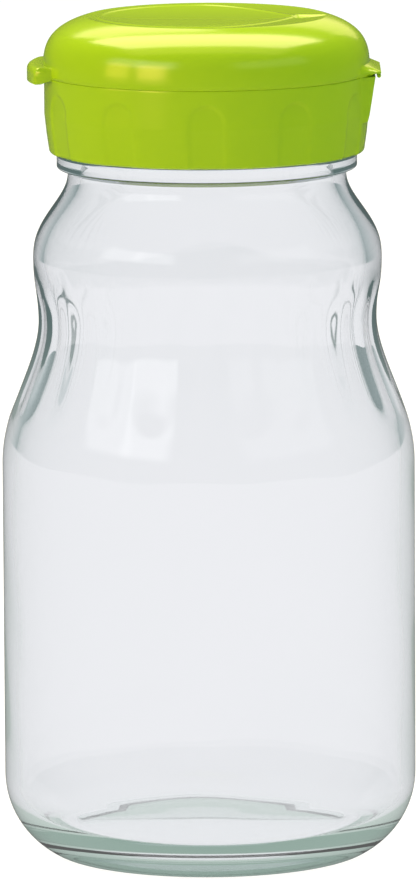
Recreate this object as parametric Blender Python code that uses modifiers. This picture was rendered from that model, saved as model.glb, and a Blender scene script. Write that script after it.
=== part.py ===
"""Wide-mouth glass syrup bottle with a screw collar and a flip lid.

Metres, +Z up. The origin is the centre of the base. The lid's hinge is on the +X side and its thumb tab
on the -X side. Run with: blender --background --python part.py
"""

import math

import bmesh
import bpy
from mathutils import Matrix, Vector

# Clearances and construction values
SEAT_GAP = 0.0003
OVERRUN = 0.002
MERGE_DISTANCE = 0.00001
HEIGHT_DIGITS = 6
HALF_SHARE = 0.5
SHARP_ANGLE = math.radians(32.0)
GLASS_STEPS = 48
CAP_STEPS = 48
SPOUT_STEPS = 32
BASE_COLLECTION = "syrup_bottle"
HELPER_COLLECTION = "cutters_and_guides"

# Glass body, outside, from the base up
BODY_RADIUS = 0.0492
HEEL_RADIUS = 0.021
HEEL_ANGLE = math.radians(61.5)
FOOT_RADIUS = 0.0054
BASE_RING_WIDTH = 0.0035
PUSH_UP_HEIGHT = 0.004
BODY_TOP = 0.094
WAIST_RADIUS = 0.0404
WAIST_RISE = 0.0346
WAIST_HEIGHT = BODY_TOP + WAIST_RISE
BULB_SWELL = 0.0011
BULB_RADIUS = WAIST_RADIUS + BULB_SWELL
BULB_RISE = 0.0144
BULB_HEIGHT = WAIST_HEIGHT + BULB_RISE
FINISH_RADIUS = 0.0339
NECK_DRAW = 0.0008
NECK_RADIUS = FINISH_RADIUS - NECK_DRAW
NECK_RISE = 0.0205
NECK_HEIGHT = BULB_HEIGHT + NECK_RISE
SHOULDER_POWER = 1.25
FLARE_POWER = 0.9
HEEL_STEPS = 5
FOOT_STEPS = 2
FLARE_STEPS = 10
BULB_STEPS = 5
SHOULDER_STEPS = 7
PUSH_UP_STEPS = 3

# Transfer bead, finish and rim
BEAD_REACH = 0.0015
BEAD_RADIUS = FINISH_RADIUS + BEAD_REACH
BEAD_RISE = 0.0021
BEAD_BOTTOM = NECK_HEIGHT + BEAD_RISE
BEAD_HEIGHT = 0.0027
BEAD_TOP = BEAD_BOTTOM + BEAD_HEIGHT
BEAD_SWELL_SHARE = 0.5
BEAD_STEPS = 4
FINISH_HEIGHT = 0.0157
RIM_HEIGHT = BEAD_TOP + FINISH_HEIGHT
RIM_ROUND = 0.0008
RIM_STEPS = 2

# Flutes round the waist
FLUTE_COUNT = 24
FLUTE_DEPTH = 0.0009
FLUTE_RISE = 0.0105
FLUTE_BOTTOM = BODY_TOP + FLUTE_RISE
FLUTE_DROP = 0.0045
FLUTE_TOP = BULB_HEIGHT - FLUTE_DROP
FLUTE_END_POWER = 6.0
FLUTE_TURN = math.radians(-92.0)

# Glass body, inside
FINISH_WALL = 0.0039
MOUTH_RADIUS = FINISH_RADIUS - FINISH_WALL
GLASS_WALL = 0.003
FLOOR_THICKNESS = 0.006
FLOOR_CROWN = PUSH_UP_HEIGHT + FLOOR_THICKNESS
FLOOR_EDGE = 0.0065
INNER_CORNER_RADIUS = 0.011
INNER_CORNER_STEPS = 4
INNER_STEPS = 4

# Thread on the glass and in the collar
THREAD_LEAD = 0.006
THREAD_TURNS = 1.25
THREAD_DROP = 0.004
THREAD_START = RIM_HEIGHT - THREAD_DROP - THREAD_LEAD * THREAD_TURNS
GLASS_THREAD_SIZE = 0.0017
COLLAR_THREAD_SIZE = 0.0012
THREAD_OFFSET = 0.0027
THREAD_POINTS_PER_TURN = 24
THREAD_RUN_OUT_POINTS = 3
THREAD_END_SHARE = 0.35
THREAD_BEVEL_RESOLUTION = 2

# Screw collar round the finish
THREAD_CLEARANCE = 0.0006
COLLAR_BORE_RADIUS = FINISH_RADIUS + GLASS_THREAD_SIZE + THREAD_CLEARANCE
COLLAR_THREAD_RADIUS = COLLAR_BORE_RADIUS - SEAT_GAP
COLLAR_WALL = 0.0022
COLLAR_RADIUS = COLLAR_BORE_RADIUS + COLLAR_WALL
COLLAR_RIM_DRAW = 0.0011
COLLAR_RIM_RADIUS = COLLAR_RADIUS - COLLAR_RIM_DRAW
COLLAR_BELLY_DRAW = 0.0005
COLLAR_BELLY_RADIUS = COLLAR_RADIUS - COLLAR_BELLY_DRAW
COLLAR_BOTTOM = BEAD_TOP + SEAT_GAP
COLLAR_BELLY_RISE = 0.0047
COLLAR_BELLY_HEIGHT = COLLAR_BOTTOM + COLLAR_BELLY_RISE
COLLAR_STRAIGHT_RISE = 0.0047
COLLAR_STRAIGHT_HEIGHT = COLLAR_BELLY_HEIGHT + COLLAR_STRAIGHT_RISE
COLLAR_EDGE = 0.0006
DECK_THICKNESS = 0.0015
SNAP_RING_HEIGHT = 0.0018
SNAP_RING_WIDTH = 0.0014
SNAP_CLEARANCE = 0.0004
MOUTH_PLUG_DEPTH = 0.002
MOUTH_PLUG_WALL = 0.0011

# Sealing ring between the deck and the glass rim
SEAL_THICKNESS = 0.0011
SEAL_RADIUS = FINISH_RADIUS - SEAT_GAP
SEAL_SETBACK = 0.0004
SEAL_BORE_RADIUS = MOUTH_RADIUS + SEAL_SETBACK

# Heights of the stack on the glass rim
SEAL_BOTTOM = RIM_HEIGHT + SEAT_GAP
SEAL_TOP = SEAL_BOTTOM + SEAL_THICKNESS
DECK_BOTTOM = SEAL_TOP + SEAT_GAP
DECK_TOP = DECK_BOTTOM + DECK_THICKNESS
LID_BOTTOM = DECK_TOP + SEAT_GAP
PARTING_HEIGHT = DECK_TOP + SEAT_GAP * HALF_SHARE

# Pour spout on the deck, its bore inside the mouth plug
SPOUT_BORE_RADIUS = 0.009
SPOUT_MARGIN = 0.0016
SPOUT_OFFSET = MOUTH_RADIUS - SEAT_GAP - MOUTH_PLUG_WALL - SPOUT_MARGIN - SPOUT_BORE_RADIUS
SPOUT_WALL = 0.0013
SPOUT_HEIGHT = 0.006
SPOUT_TOP = DECK_TOP + SPOUT_HEIGHT
SPOUT_LIP_FLARE = 0.0006
SPOUT_LIP_HEIGHT = 0.0012

# Arches pressed into the collar
ARCH_COUNT = 10
ARCH_WIDTH = 0.0083
ARCH_DROP = 0.0036
ARCH_TOP = DECK_TOP - ARCH_DROP
ARCH_DEPTH = 0.0005
ARCH_PITCH = math.radians(33.0)
ARCH_FIRST = math.radians(24.0)
ARCH_STEPS = 10

# Flip lid
LID_OVERHANG = 0.0003
LID_RADIUS = COLLAR_RADIUS + LID_OVERHANG
LID_WALL = 0.0016
LID_EDGE = 0.0003
DOME_DRAW = 0.0003
DOME_RADIUS = LID_RADIUS - DOME_DRAW
LID_SKIRT_HEIGHT = 0.0022
DOME_FOOT = LID_BOTTOM + LID_SKIRT_HEIGHT
DOME_RISE = 0.0128
DOME_FULLNESS = 3.4
DOME_STEPS = 8
DISH_RADIUS = 0.0240
LAND_WIDTH = 0.0044
CREST_RADIUS = DISH_RADIUS + LAND_WIDTH
CROWN_FALL = 0.0012
DISH_POINT_REACH = 0.0195
DISH_SIDE_ANGLE = math.radians(97.0)
DISH_SIDE_REACH = 0.011
DISH_STEP_WIDTH = 0.0012
DISH_DEPTH = 0.0013
DISH_ARC_STEPS = 16
DISH_SIDE_STEPS = 5
ARROW_MARGIN = 0.0007
ARROW_START = DISH_POINT_REACH + ARROW_MARGIN
ARROW_HEAD_LENGTH = 0.0016
ARROW_LENGTH = 0.0102
ARROW_WIDTH = 0.0084
ARROW_STEP_WIDTH = 0.0006
ARROW_DEPTH = 0.0009
PLUG_WALL = 0.0012
PLUG_DEPTH = 0.002
PLUG_CLEARANCE = 0.0004

# Thumb tab
TAB_REACH = 0.0038
TAB_RADIUS = LID_RADIUS + TAB_REACH
TAB_ANGLE = math.radians(37.0)
TAB_THICKNESS = 0.0028
TAB_LIP_DROP = 0.0004
TAB_LIP_WIDTH = 0.0012
TAB_ROUND = 0.0008
TAB_STEPS = 8
TAB_ROUND_STEPS = 3

# Hinge
HINGE_REACH = 0.0024
HINGE_X = COLLAR_RADIUS + HINGE_REACH
HINGE_WEB_SIZE = 0.0005
HINGE_WEB_LENGTH = 0.0186
HINGE_WEB_STEPS = 16
HINGE_LAND_HALF_WIDTH = 0.010
HINGE_ROOT_HALF_WIDTH = 0.0132
LID_LAND_REACH = HINGE_X + HINGE_WEB_SIZE
LID_LAND_ROOT_HEIGHT = 0.0028
LID_LAND_EDGE_HEIGHT = 0.0012
COLLAR_LAND_REACH = HINGE_X - HINGE_WEB_SIZE - SEAT_GAP
COLLAR_LAND_FOOT_REACH = COLLAR_RADIUS - SEAT_GAP
COLLAR_LAND_HEIGHT = 0.011
COLLAR_LAND_FOOT = DECK_TOP - COLLAR_LAND_HEIGHT
LAND_ROOT_DEPTH = 0.0045


def dome_height(radius):
    """The height of the lid's domed surface at a radius."""
    fall = (radius / DOME_RADIUS) ** DOME_FULLNESS
    return DOME_FOOT + DOME_RISE * (1.0 - fall) ** (1.0 / DOME_FULLNESS)


LID_TOP = dome_height(CREST_RADIUS)
DISH_FLOOR = LID_TOP - DISH_DEPTH
CEILING_HEIGHT = DISH_FLOOR - LID_WALL


def clear_scene():
    """Removes every object of the startup scene."""
    for obj in list(bpy.data.objects):
        bpy.data.objects.remove(obj, do_unlink=True)


def collection_named(name):
    """A new collection linked to the scene."""
    collection = bpy.data.collections.new(name)
    bpy.context.scene.collection.children.link(collection)
    return collection


def eased(start, end, share):
    """A value between start and end that leaves and arrives level."""
    return start + (end - start) * (1.0 - math.cos(math.pi * share)) / 2.0


def arc(centre, radius, start, end, steps):
    """Outline points on an arc, angles in radians from +r towards +z, both ends included."""
    angles = [start + (end - start) * i / steps for i in range(steps + 1)]
    return [(centre[0] + radius * math.cos(a), centre[1] + radius * math.sin(a)) for a in angles]


def mesh_object(name, mesh, collection):
    """A new object for a mesh, in a collection."""
    obj = bpy.data.objects.new(name, mesh)
    collection.objects.link(obj)
    return obj


def as_helper(obj):
    """Marks an object as a cutter or guide, which is no part of the model."""
    obj.hide_render = True
    obj.display_type = "WIRE"
    return obj


def turned(name, outline, steps, collection, closed=False):
    """A solid of revolution about Z from (radius, height) points that run down the outer side."""
    mesh = bpy.data.meshes.new(name)
    edges = [(i, i + 1) for i in range(len(outline) - 1)]
    if closed:
        edges.append((len(outline) - 1, 0))
    mesh.from_pydata([(r, 0.0, z) for r, z in outline], edges, [])
    obj = mesh_object(name, mesh, collection)
    screw = obj.modifiers.new("turn", "SCREW")
    screw.angle = math.tau
    screw.steps = steps
    screw.render_steps = steps
    screw.use_merge_vertices = True
    screw.merge_threshold = MERGE_DISTANCE
    screw.use_smooth_shade = True
    return obj


def made_real(obj):
    """Turns an object's modifiers or curve into a plain mesh with its seams welded."""
    graph = bpy.context.evaluated_depsgraph_get()
    graph.update()
    mesh = bpy.data.meshes.new_from_object(obj.evaluated_get(graph))
    bm = bmesh.new()
    bm.from_mesh(mesh)
    bmesh.ops.remove_doubles(bm, verts=bm.verts, dist=MERGE_DISTANCE)
    bmesh.ops.recalc_face_normals(bm, faces=bm.faces)
    bm.to_mesh(mesh)
    bm.free()
    new = mesh_object(obj.name + "_mesh", mesh, obj.users_collection[0])
    new.matrix_world = obj.matrix_world
    name = obj.name
    bpy.data.objects.remove(obj, do_unlink=True)
    new.name = name
    return new


def join_with(obj, other, operation):
    """Adds a Boolean with another object, which becomes a helper."""
    as_helper(other)
    boolean = obj.modifiers.new(operation.lower() + "_" + other.name, "BOOLEAN")
    boolean.operation = operation
    boolean.solver = "EXACT"
    boolean.object = other


def finish_mesh(obj):
    """Applies an object's modifiers and shades it smooth with sharp edges kept."""
    new = made_real(obj)
    new.data.shade_smooth()
    new.data.set_sharp_from_angle(angle=SHARP_ANGLE)
    return new


def glass_outline():
    """The outer outline of the glass, from the rim down to the centre of the push-up."""
    rim = arc((FINISH_RADIUS - RIM_ROUND, RIM_HEIGHT - RIM_ROUND), RIM_ROUND, math.pi / 2.0, 0.0, RIM_STEPS)
    points = [(0.0, RIM_HEIGHT)] + rim
    bead_height = BEAD_TOP - BEAD_BOTTOM
    for i in range(BEAD_STEPS + 1):
        share = i / BEAD_STEPS
        root = FINISH_RADIUS + (NECK_RADIUS - FINISH_RADIUS) * share
        swell = math.sin(math.pi * share) ** BEAD_SWELL_SHARE
        points.append((root + (BEAD_RADIUS - root) * swell, BEAD_TOP - bead_height * share))
    for i in range(SHOULDER_STEPS):
        share = 1.0 - i / SHOULDER_STEPS
        height = BULB_HEIGHT + (NECK_HEIGHT - BULB_HEIGHT) * share
        points.append((eased(BULB_RADIUS, NECK_RADIUS, share**SHOULDER_POWER), height))
    for i in range(BULB_STEPS):
        share = i / BULB_STEPS
        height = BULB_HEIGHT + (WAIST_HEIGHT - BULB_HEIGHT) * share
        points.append((eased(BULB_RADIUS, WAIST_RADIUS, share), height))
    for i in range(FLARE_STEPS + 1):
        share = i / FLARE_STEPS
        height = WAIST_HEIGHT + (BODY_TOP - WAIST_HEIGHT) * share
        points.append((eased(WAIST_RADIUS, BODY_RADIUS, share**FLARE_POWER), height))
    heel_reach = HEEL_RADIUS - FOOT_RADIUS
    foot_centre = (
        BODY_RADIUS - HEEL_RADIUS + heel_reach * math.cos(HEEL_ANGLE),
        FOOT_RADIUS,
    )
    heel_centre = (BODY_RADIUS - HEEL_RADIUS, FOOT_RADIUS + heel_reach * math.sin(HEEL_ANGLE))
    points += arc(heel_centre, HEEL_RADIUS, 0.0, -HEEL_ANGLE, HEEL_STEPS)
    points += arc(foot_centre, FOOT_RADIUS, -HEEL_ANGLE, -math.pi / 2.0, FOOT_STEPS)[1:]
    ring_inside = foot_centre[0] - BASE_RING_WIDTH
    for i in range(PUSH_UP_STEPS + 1):
        share = 1.0 - i / PUSH_UP_STEPS
        points.append((ring_inside * share, PUSH_UP_HEIGHT * (1.0 - share**2)))
    return points


def cavity_outline():
    """The inside of the glass, from above the mouth down to the centre of the floor."""
    waist = WAIST_RADIUS - FLUTE_DEPTH - GLASS_WALL
    bulb = BULB_RADIUS - GLASS_WALL
    body = BODY_RADIUS - GLASS_WALL
    points = [(0.0, RIM_HEIGHT + OVERRUN), (MOUTH_RADIUS, RIM_HEIGHT + OVERRUN)]
    spans = (
        (NECK_HEIGHT, BULB_HEIGHT, MOUTH_RADIUS, bulb),
        (BULB_HEIGHT, WAIST_HEIGHT, bulb, waist),
        (WAIST_HEIGHT, BODY_TOP, waist, body),
    )
    for top, bottom, top_radius, bottom_radius in spans:
        for i in range(INNER_STEPS):
            share = i / INNER_STEPS
            points.append((eased(top_radius, bottom_radius, share), top + (bottom - top) * share))
    points.append((body, BODY_TOP))
    corner = (body - INNER_CORNER_RADIUS, FLOOR_EDGE + INNER_CORNER_RADIUS)
    points += arc(corner, INNER_CORNER_RADIUS, 0.0, -math.pi / 2.0, INNER_CORNER_STEPS)
    points.append((0.0, FLOOR_CROWN))
    return points


def flute_inset(angle, height):
    """How far a flute moves the surface inwards at an angle and a height."""
    middle = (FLUTE_TOP + FLUTE_BOTTOM) / 2.0
    reach = abs(height - middle) / ((FLUTE_TOP - FLUTE_BOTTOM) / 2.0)
    if reach >= 1.0:
        return 0.0
    depth = FLUTE_DEPTH * (1.0 - reach**FLUTE_END_POWER)
    pitch = math.tau / FLUTE_COUNT
    across = (angle - FLUTE_TURN + pitch / 2.0) % pitch - pitch / 2.0
    crown = FLUTE_DEPTH * (2.0 * across / pitch) ** 2
    return max(0.0, depth - crown)


def add_flutes(bottle):
    """Splits the ring edges in the fluted zone in two and presses the flutes into them."""
    bm = bmesh.new()
    bm.from_mesh(bottle.data)
    rings = [
        edge
        for edge in bm.edges
        if abs(edge.verts[0].co.z - edge.verts[1].co.z) < MERGE_DISTANCE
        and FLUTE_BOTTOM < edge.verts[0].co.z < FLUTE_TOP
    ]
    radius_at = {}
    for edge in rings:
        radius_at[round(edge.verts[0].co.z, HEIGHT_DIGITS)] = edge.verts[0].co.xy.length
    bmesh.ops.subdivide_edges(bm, edges=rings, cuts=1, use_grid_fill=True)
    for vert in bm.verts:
        radius = radius_at.get(round(vert.co.z, HEIGHT_DIGITS))
        if radius is None:
            continue
        inset = flute_inset(math.atan2(vert.co.y, vert.co.x), vert.co.z)
        vert.co.xy = vert.co.xy.normalized() * (radius - inset)
    bm.to_mesh(bottle.data)
    bm.free()


def helix(name, radius, start_height, size, collection):
    """A rounded helical thread as a closed mesh, thinned out at both ends."""
    curve = bpy.data.curves.new(name, "CURVE")
    curve.dimensions = "3D"
    curve.bevel_depth = size
    curve.bevel_resolution = THREAD_BEVEL_RESOLUTION
    curve.use_fill_caps = True
    count = round(THREAD_TURNS * THREAD_POINTS_PER_TURN) + 1
    spline = curve.splines.new("POLY")
    spline.points.add(count - 1)
    for i, point in enumerate(spline.points):
        angle = math.tau * i / THREAD_POINTS_PER_TURN
        height = start_height + THREAD_LEAD * i / THREAD_POINTS_PER_TURN
        point.co = (radius * math.cos(angle), radius * math.sin(angle), height, 1.0)
        from_end = min(i, count - 1 - i) / THREAD_RUN_OUT_POINTS
        point.radius = min(1.0, THREAD_END_SHARE + (1.0 - THREAD_END_SHARE) * from_end)
    obj = bpy.data.objects.new(name, curve)
    collection.objects.link(obj)
    return made_real(obj)


def cylinder(name, radius, low, high, steps, collection, centre=(0.0, 0.0)):
    """An upright cylinder as a mesh object."""
    mesh = bpy.data.meshes.new(name)
    bm = bmesh.new()
    bmesh.ops.create_cone(
        bm, cap_ends=True, segments=steps, radius1=radius, radius2=radius, depth=high - low
    )
    bmesh.ops.translate(bm, verts=bm.verts, vec=(centre[0], centre[1], (low + high) / 2.0))
    bm.to_mesh(mesh)
    bm.free()
    return mesh_object(name, mesh, collection)


def hinge_rod(name, radius, length, collection):
    """A rod along the hinge axis."""
    mesh = bpy.data.meshes.new(name)
    bm = bmesh.new()
    bmesh.ops.create_cone(
        bm, cap_ends=True, segments=HINGE_WEB_STEPS, radius1=radius, radius2=radius, depth=length
    )
    turn = Matrix.Rotation(math.pi / 2.0, 4, "X")
    bmesh.ops.transform(bm, matrix=turn, verts=bm.verts)
    bmesh.ops.translate(bm, verts=bm.verts, vec=(HINGE_X, 0.0, PARTING_HEIGHT))
    bm.to_mesh(mesh)
    bm.free()
    return mesh_object(name, mesh, collection)


def block(name, corner_of, collection):
    """A six-sided block whose corners are placed by corner_of(is_outer, side, is_high)."""
    mesh = bpy.data.meshes.new(name)
    bm = bmesh.new()
    bmesh.ops.create_cube(bm, size=1.0)
    for vert in bm.verts:
        side = math.copysign(1.0, vert.co.y)
        vert.co = corner_of(vert.co.x > 0.0, side, vert.co.z > 0.0)
    bm.to_mesh(mesh)
    bm.free()
    return mesh_object(name, mesh, collection)


def swept_section(name, section, start, sweep, steps, collection):
    """A closed (radius, height) section swept round Z through part of a turn, with end caps."""
    mesh = bpy.data.meshes.new(name)
    bm = bmesh.new()
    verts = [bm.verts.new((r, 0.0, z)) for r, z in section]
    face = bm.faces.new(verts)
    bmesh.ops.rotate(bm, verts=bm.verts, cent=(0.0, 0.0, 0.0), matrix=Matrix.Rotation(start, 3, "Z"))
    bmesh.ops.spin(
        bm, geom=[face], cent=(0.0, 0.0, 0.0), axis=(0.0, 0.0, 1.0), angle=sweep, steps=steps
    )
    bmesh.ops.holes_fill(bm, edges=[e for e in bm.edges if e.is_boundary])
    bmesh.ops.recalc_face_normals(bm, faces=bm.faces)
    bm.to_mesh(mesh)
    bm.free()
    return mesh_object(name, mesh, collection)


def make_glass(parts, helpers):
    """The bottle: a turned body with flutes, a hollow inside and a thread on its finish."""
    bottle = made_real(turned("glass_bottle", glass_outline(), GLASS_STEPS, parts))
    add_flutes(bottle)
    thread = helix("glass_thread", FINISH_RADIUS, THREAD_START, GLASS_THREAD_SIZE, helpers)
    join_with(bottle, thread, "UNION")
    cavity = turned("glass_cavity", cavity_outline(), GLASS_STEPS, helpers)
    join_with(bottle, cavity, "DIFFERENCE")
    return finish_mesh(bottle)


def make_sealing_ring(parts):
    """The soft ring that the deck presses on the glass rim."""
    outline = [
        (SEAL_BORE_RADIUS, SEAL_TOP),
        (SEAL_RADIUS, SEAL_TOP),
        (SEAL_RADIUS, SEAL_BOTTOM),
        (SEAL_BORE_RADIUS, SEAL_BOTTOM),
    ]
    return finish_mesh(turned("sealing_ring", outline, CAP_STEPS, parts, closed=True))


def collar_outline():
    """The outside of the collar with its deck and snap ring, as a solid."""
    snap_outer = LID_RADIUS - LID_WALL - SNAP_CLEARANCE
    snap_inner = snap_outer - SNAP_RING_WIDTH
    snap_top = DECK_TOP + SNAP_RING_HEIGHT
    return [
        (0.0, DECK_TOP),
        (snap_inner, DECK_TOP),
        (snap_inner, snap_top),
        (snap_outer, snap_top),
        (snap_outer, DECK_TOP),
        (COLLAR_RADIUS - LID_EDGE, DECK_TOP),
        (COLLAR_RADIUS, DECK_TOP - LID_EDGE),
        (COLLAR_RADIUS, COLLAR_STRAIGHT_HEIGHT),
        (COLLAR_BELLY_RADIUS, COLLAR_BELLY_HEIGHT),
        (COLLAR_RIM_RADIUS, COLLAR_BOTTOM + COLLAR_EDGE),
        (COLLAR_RIM_RADIUS - COLLAR_EDGE, COLLAR_BOTTOM),
        (0.0, COLLAR_BOTTOM),
    ]


def collar_cavity_outline():
    """The space inside the collar, round the plug that enters the glass mouth."""
    plug_outer = MOUTH_RADIUS - SEAT_GAP
    plug_inner = plug_outer - MOUTH_PLUG_WALL
    plug_bottom = DECK_BOTTOM - MOUTH_PLUG_DEPTH
    return [
        (0.0, DECK_BOTTOM),
        (plug_inner, DECK_BOTTOM),
        (plug_inner, plug_bottom),
        (plug_outer, plug_bottom),
        (plug_outer, DECK_BOTTOM),
        (COLLAR_BORE_RADIUS, DECK_BOTTOM),
        (COLLAR_BORE_RADIUS, COLLAR_BOTTOM - OVERRUN),
        (0.0, COLLAR_BOTTOM - OVERRUN),
    ]


def spout_outline():
    """The outside of the pour spout, with a flared lip, from its top down into the deck."""
    outer = SPOUT_BORE_RADIUS + SPOUT_WALL
    return [
        (0.0, SPOUT_TOP),
        (outer + SPOUT_LIP_FLARE, SPOUT_TOP),
        (outer, SPOUT_TOP - SPOUT_LIP_HEIGHT),
        (outer, DECK_BOTTOM + DECK_THICKNESS * HALF_SHARE),
        (0.0, DECK_BOTTOM + DECK_THICKNESS * HALF_SHARE),
    ]


def make_arches(helpers):
    """One cutter that holds all the round-topped panels of the collar."""
    mesh = bpy.data.meshes.new("collar_arches")
    bm = bmesh.new()
    half = ARCH_WIDTH / 2.0
    low = COLLAR_BOTTOM - OVERRUN
    outline = [(half, low)]
    outline += arc((0.0, ARCH_TOP - half), half, 0.0, math.pi, ARCH_STEPS)
    outline.append((-half, low))
    depth = OVERRUN + ARCH_DEPTH
    for i in range(ARCH_COUNT):
        side = 1.0 if i % 2 == 0 else -1.0
        angle = math.pi + side * (ARCH_FIRST + ARCH_PITCH * (i // 2))
        inner = COLLAR_RADIUS - ARCH_DEPTH
        face = bm.faces.new([bm.verts.new((inner, y, z)) for y, z in outline])
        made = bmesh.ops.extrude_face_region(bm, geom=[face])
        moved = [v for v in made["geom"] if isinstance(v, bmesh.types.BMVert)]
        bmesh.ops.translate(bm, verts=moved, vec=(depth, 0.0, 0.0))
        turned_verts = moved + list(face.verts)
        bmesh.ops.rotate(
            bm, verts=turned_verts, cent=(0.0, 0.0, 0.0), matrix=Matrix.Rotation(angle, 3, "Z")
        )
    bmesh.ops.recalc_face_normals(bm, faces=bm.faces)
    bm.to_mesh(mesh)
    bm.free()
    return mesh_object("collar_arches", mesh, helpers)


def collar_land_corner(is_outer, side, is_high):
    """A corner of the wedge on the collar that carries the hinge."""
    reach = COLLAR_LAND_REACH if is_high else COLLAR_LAND_FOOT_REACH
    x = reach if is_outer else reach - LAND_ROOT_DEPTH
    half = HINGE_LAND_HALF_WIDTH if is_outer else HINGE_ROOT_HALF_WIDTH
    return Vector((x, side * half, DECK_TOP if is_high else COLLAR_LAND_FOOT))


def lid_land_corner(is_outer, side, is_high):
    """A corner of the pointed land on the lid that the hinge joins."""
    x = LID_LAND_REACH if is_outer else LID_LAND_REACH - LAND_ROOT_DEPTH
    half = HINGE_LAND_HALF_WIDTH if is_outer else HINGE_ROOT_HALF_WIDTH
    rise = LID_LAND_EDGE_HEIGHT if is_outer else LID_LAND_ROOT_HEIGHT
    return Vector((x, side * half, LID_BOTTOM + (rise if is_high else 0.0)))


def make_collar(parts, helpers):
    """The screw collar: skirt, deck, pour spout, snap ring, inner thread and hinge land."""
    collar = turned("screw_collar", collar_outline(), CAP_STEPS, parts)
    join_with(collar, block("collar_land", collar_land_corner, helpers), "UNION")
    join_with(collar, make_arches(helpers), "DIFFERENCE")
    cavity = turned("collar_cavity", collar_cavity_outline(), CAP_STEPS, helpers)
    join_with(collar, cavity, "DIFFERENCE")
    spout = turned("collar_spout", spout_outline(), SPOUT_STEPS, helpers)
    spout.location.x = -SPOUT_OFFSET
    join_with(collar, spout, "UNION")
    bore = cylinder(
        "spout_bore",
        SPOUT_BORE_RADIUS,
        DECK_BOTTOM - OVERRUN,
        SPOUT_TOP + OVERRUN,
        SPOUT_STEPS,
        helpers,
        (-SPOUT_OFFSET, 0.0),
    )
    join_with(collar, bore, "DIFFERENCE")
    thread_start = THREAD_START - THREAD_OFFSET
    thread = helix("collar_thread", COLLAR_THREAD_RADIUS, thread_start, COLLAR_THREAD_SIZE, helpers)
    join_with(collar, thread, "UNION")
    return finish_mesh(collar)


def lid_dome(inset):
    """Outline points of the dome from the crest down to its foot, moved in by a wall."""
    start = math.acos((CREST_RADIUS / DOME_RADIUS) ** (DOME_FULLNESS / 2.0))
    points = []
    for i in range(DOME_STEPS + 1):
        angle = start * (1.0 - i / DOME_STEPS)
        across = (DOME_RADIUS - inset) * math.cos(angle) ** (2.0 / DOME_FULLNESS)
        up = (DOME_RISE - inset) * math.sin(angle) ** (2.0 / DOME_FULLNESS)
        points.append((across, DOME_FOOT + up))
    return points


def lid_outline():
    """The outside of the lid as a solid, its crown falling a little from the crest inwards."""
    points = [(0.0, LID_TOP - CROWN_FALL)] + lid_dome(0.0)
    points.append((LID_RADIUS, LID_BOTTOM + LID_EDGE))
    points.append((LID_RADIUS - LID_EDGE, LID_BOTTOM))
    points.append((0.0, LID_BOTTOM))
    return points


def lid_cavity_outline():
    """The space inside the lid, level under the dish as far as the spout's plug reaches."""
    rise_share = (CEILING_HEIGHT - DOME_FOOT) / (DOME_RISE - LID_WALL)
    reach_share = (1.0 - rise_share**DOME_FULLNESS) ** (1.0 / DOME_FULLNESS)
    points = [(0.0, CEILING_HEIGHT), ((DOME_RADIUS - LID_WALL) * reach_share, CEILING_HEIGHT)]
    points += [point for point in lid_dome(LID_WALL) if point[1] < CEILING_HEIGHT - MERGE_DISTANCE]
    points.append((LID_RADIUS - LID_WALL, LID_BOTTOM))
    points.append((LID_RADIUS - LID_WALL, LID_BOTTOM - OVERRUN))
    points.append((0.0, LID_BOTTOM - OVERRUN))
    return points


def pressed_cutter(name, plan, draw, depth, helpers):
    """A cutter over a plan outline whose wall draws in by a width over its depth in the crown."""
    mesh = bpy.data.meshes.new(name)
    bm = bmesh.new()
    middle = Vector((sum(x for x, _ in plan) / len(plan), 0.0))
    reach = max((Vector(point) - middle).length for point in plan)
    floor_share = 1.0 - draw / reach
    top_share = 1.0 + draw / reach * OVERRUN / depth
    corners = [Vector(point) - middle for point in plan]
    floor = [middle + corner * floor_share for corner in corners]
    face = bm.faces.new([bm.verts.new((point.x, point.y, LID_TOP - depth)) for point in floor])
    made = bmesh.ops.extrude_face_region(bm, geom=[face])
    for vert in made["geom"]:
        if isinstance(vert, bmesh.types.BMVert):
            vert.co.xy = middle + (vert.co.xy - middle) * top_share / floor_share
            vert.co.z = LID_TOP + OVERRUN
    bmesh.ops.recalc_face_normals(bm, faces=bm.faces)
    bm.to_mesh(mesh)
    bm.free()
    return mesh_object(name, mesh, helpers)


def dish_side(side):
    """Plan points from the round of the dish to its point, on one side, without the point."""
    start = Vector((math.cos(DISH_SIDE_ANGLE), math.sin(DISH_SIDE_ANGLE))) * DISH_RADIUS
    lead = Vector((math.sin(DISH_SIDE_ANGLE), -math.cos(DISH_SIDE_ANGLE))) * DISH_SIDE_REACH
    guide = start + lead
    point = Vector((DISH_POINT_REACH, 0.0))
    places = []
    for i in range(1, DISH_SIDE_STEPS):
        share = i / DISH_SIDE_STEPS
        place = start * (1.0 - share) ** 2 + guide * 2.0 * share * (1.0 - share) + point * share**2
        places.append((place.x, side * place.y))
    return places


def make_dish(helpers):
    """The cutter for the dish in the crown: round, and drawn to a point towards the hinge."""
    sweep = math.tau - 2.0 * DISH_SIDE_ANGLE
    plan = [(DISH_POINT_REACH, 0.0)]
    plan += reversed(dish_side(1.0))
    plan += arc((0.0, 0.0), DISH_RADIUS, DISH_SIDE_ANGLE, DISH_SIDE_ANGLE + sweep, DISH_ARC_STEPS)
    plan += dish_side(-1.0)
    return pressed_cutter("lid_dish", plan, DISH_STEP_WIDTH, DISH_DEPTH, helpers)


def make_arrow(helpers):
    """The cutter for the small arrow pressed into the land, which points to the hinge."""
    plan = [
        (ARROW_START, 0.0),
        (ARROW_START + ARROW_HEAD_LENGTH, -ARROW_WIDTH / 2.0),
        (ARROW_START + ARROW_LENGTH, 0.0),
        (ARROW_START + ARROW_HEAD_LENGTH, ARROW_WIDTH / 2.0),
    ]
    return pressed_cutter("lid_arrow", plan, ARROW_STEP_WIDTH, ARROW_DEPTH, helpers)


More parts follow.
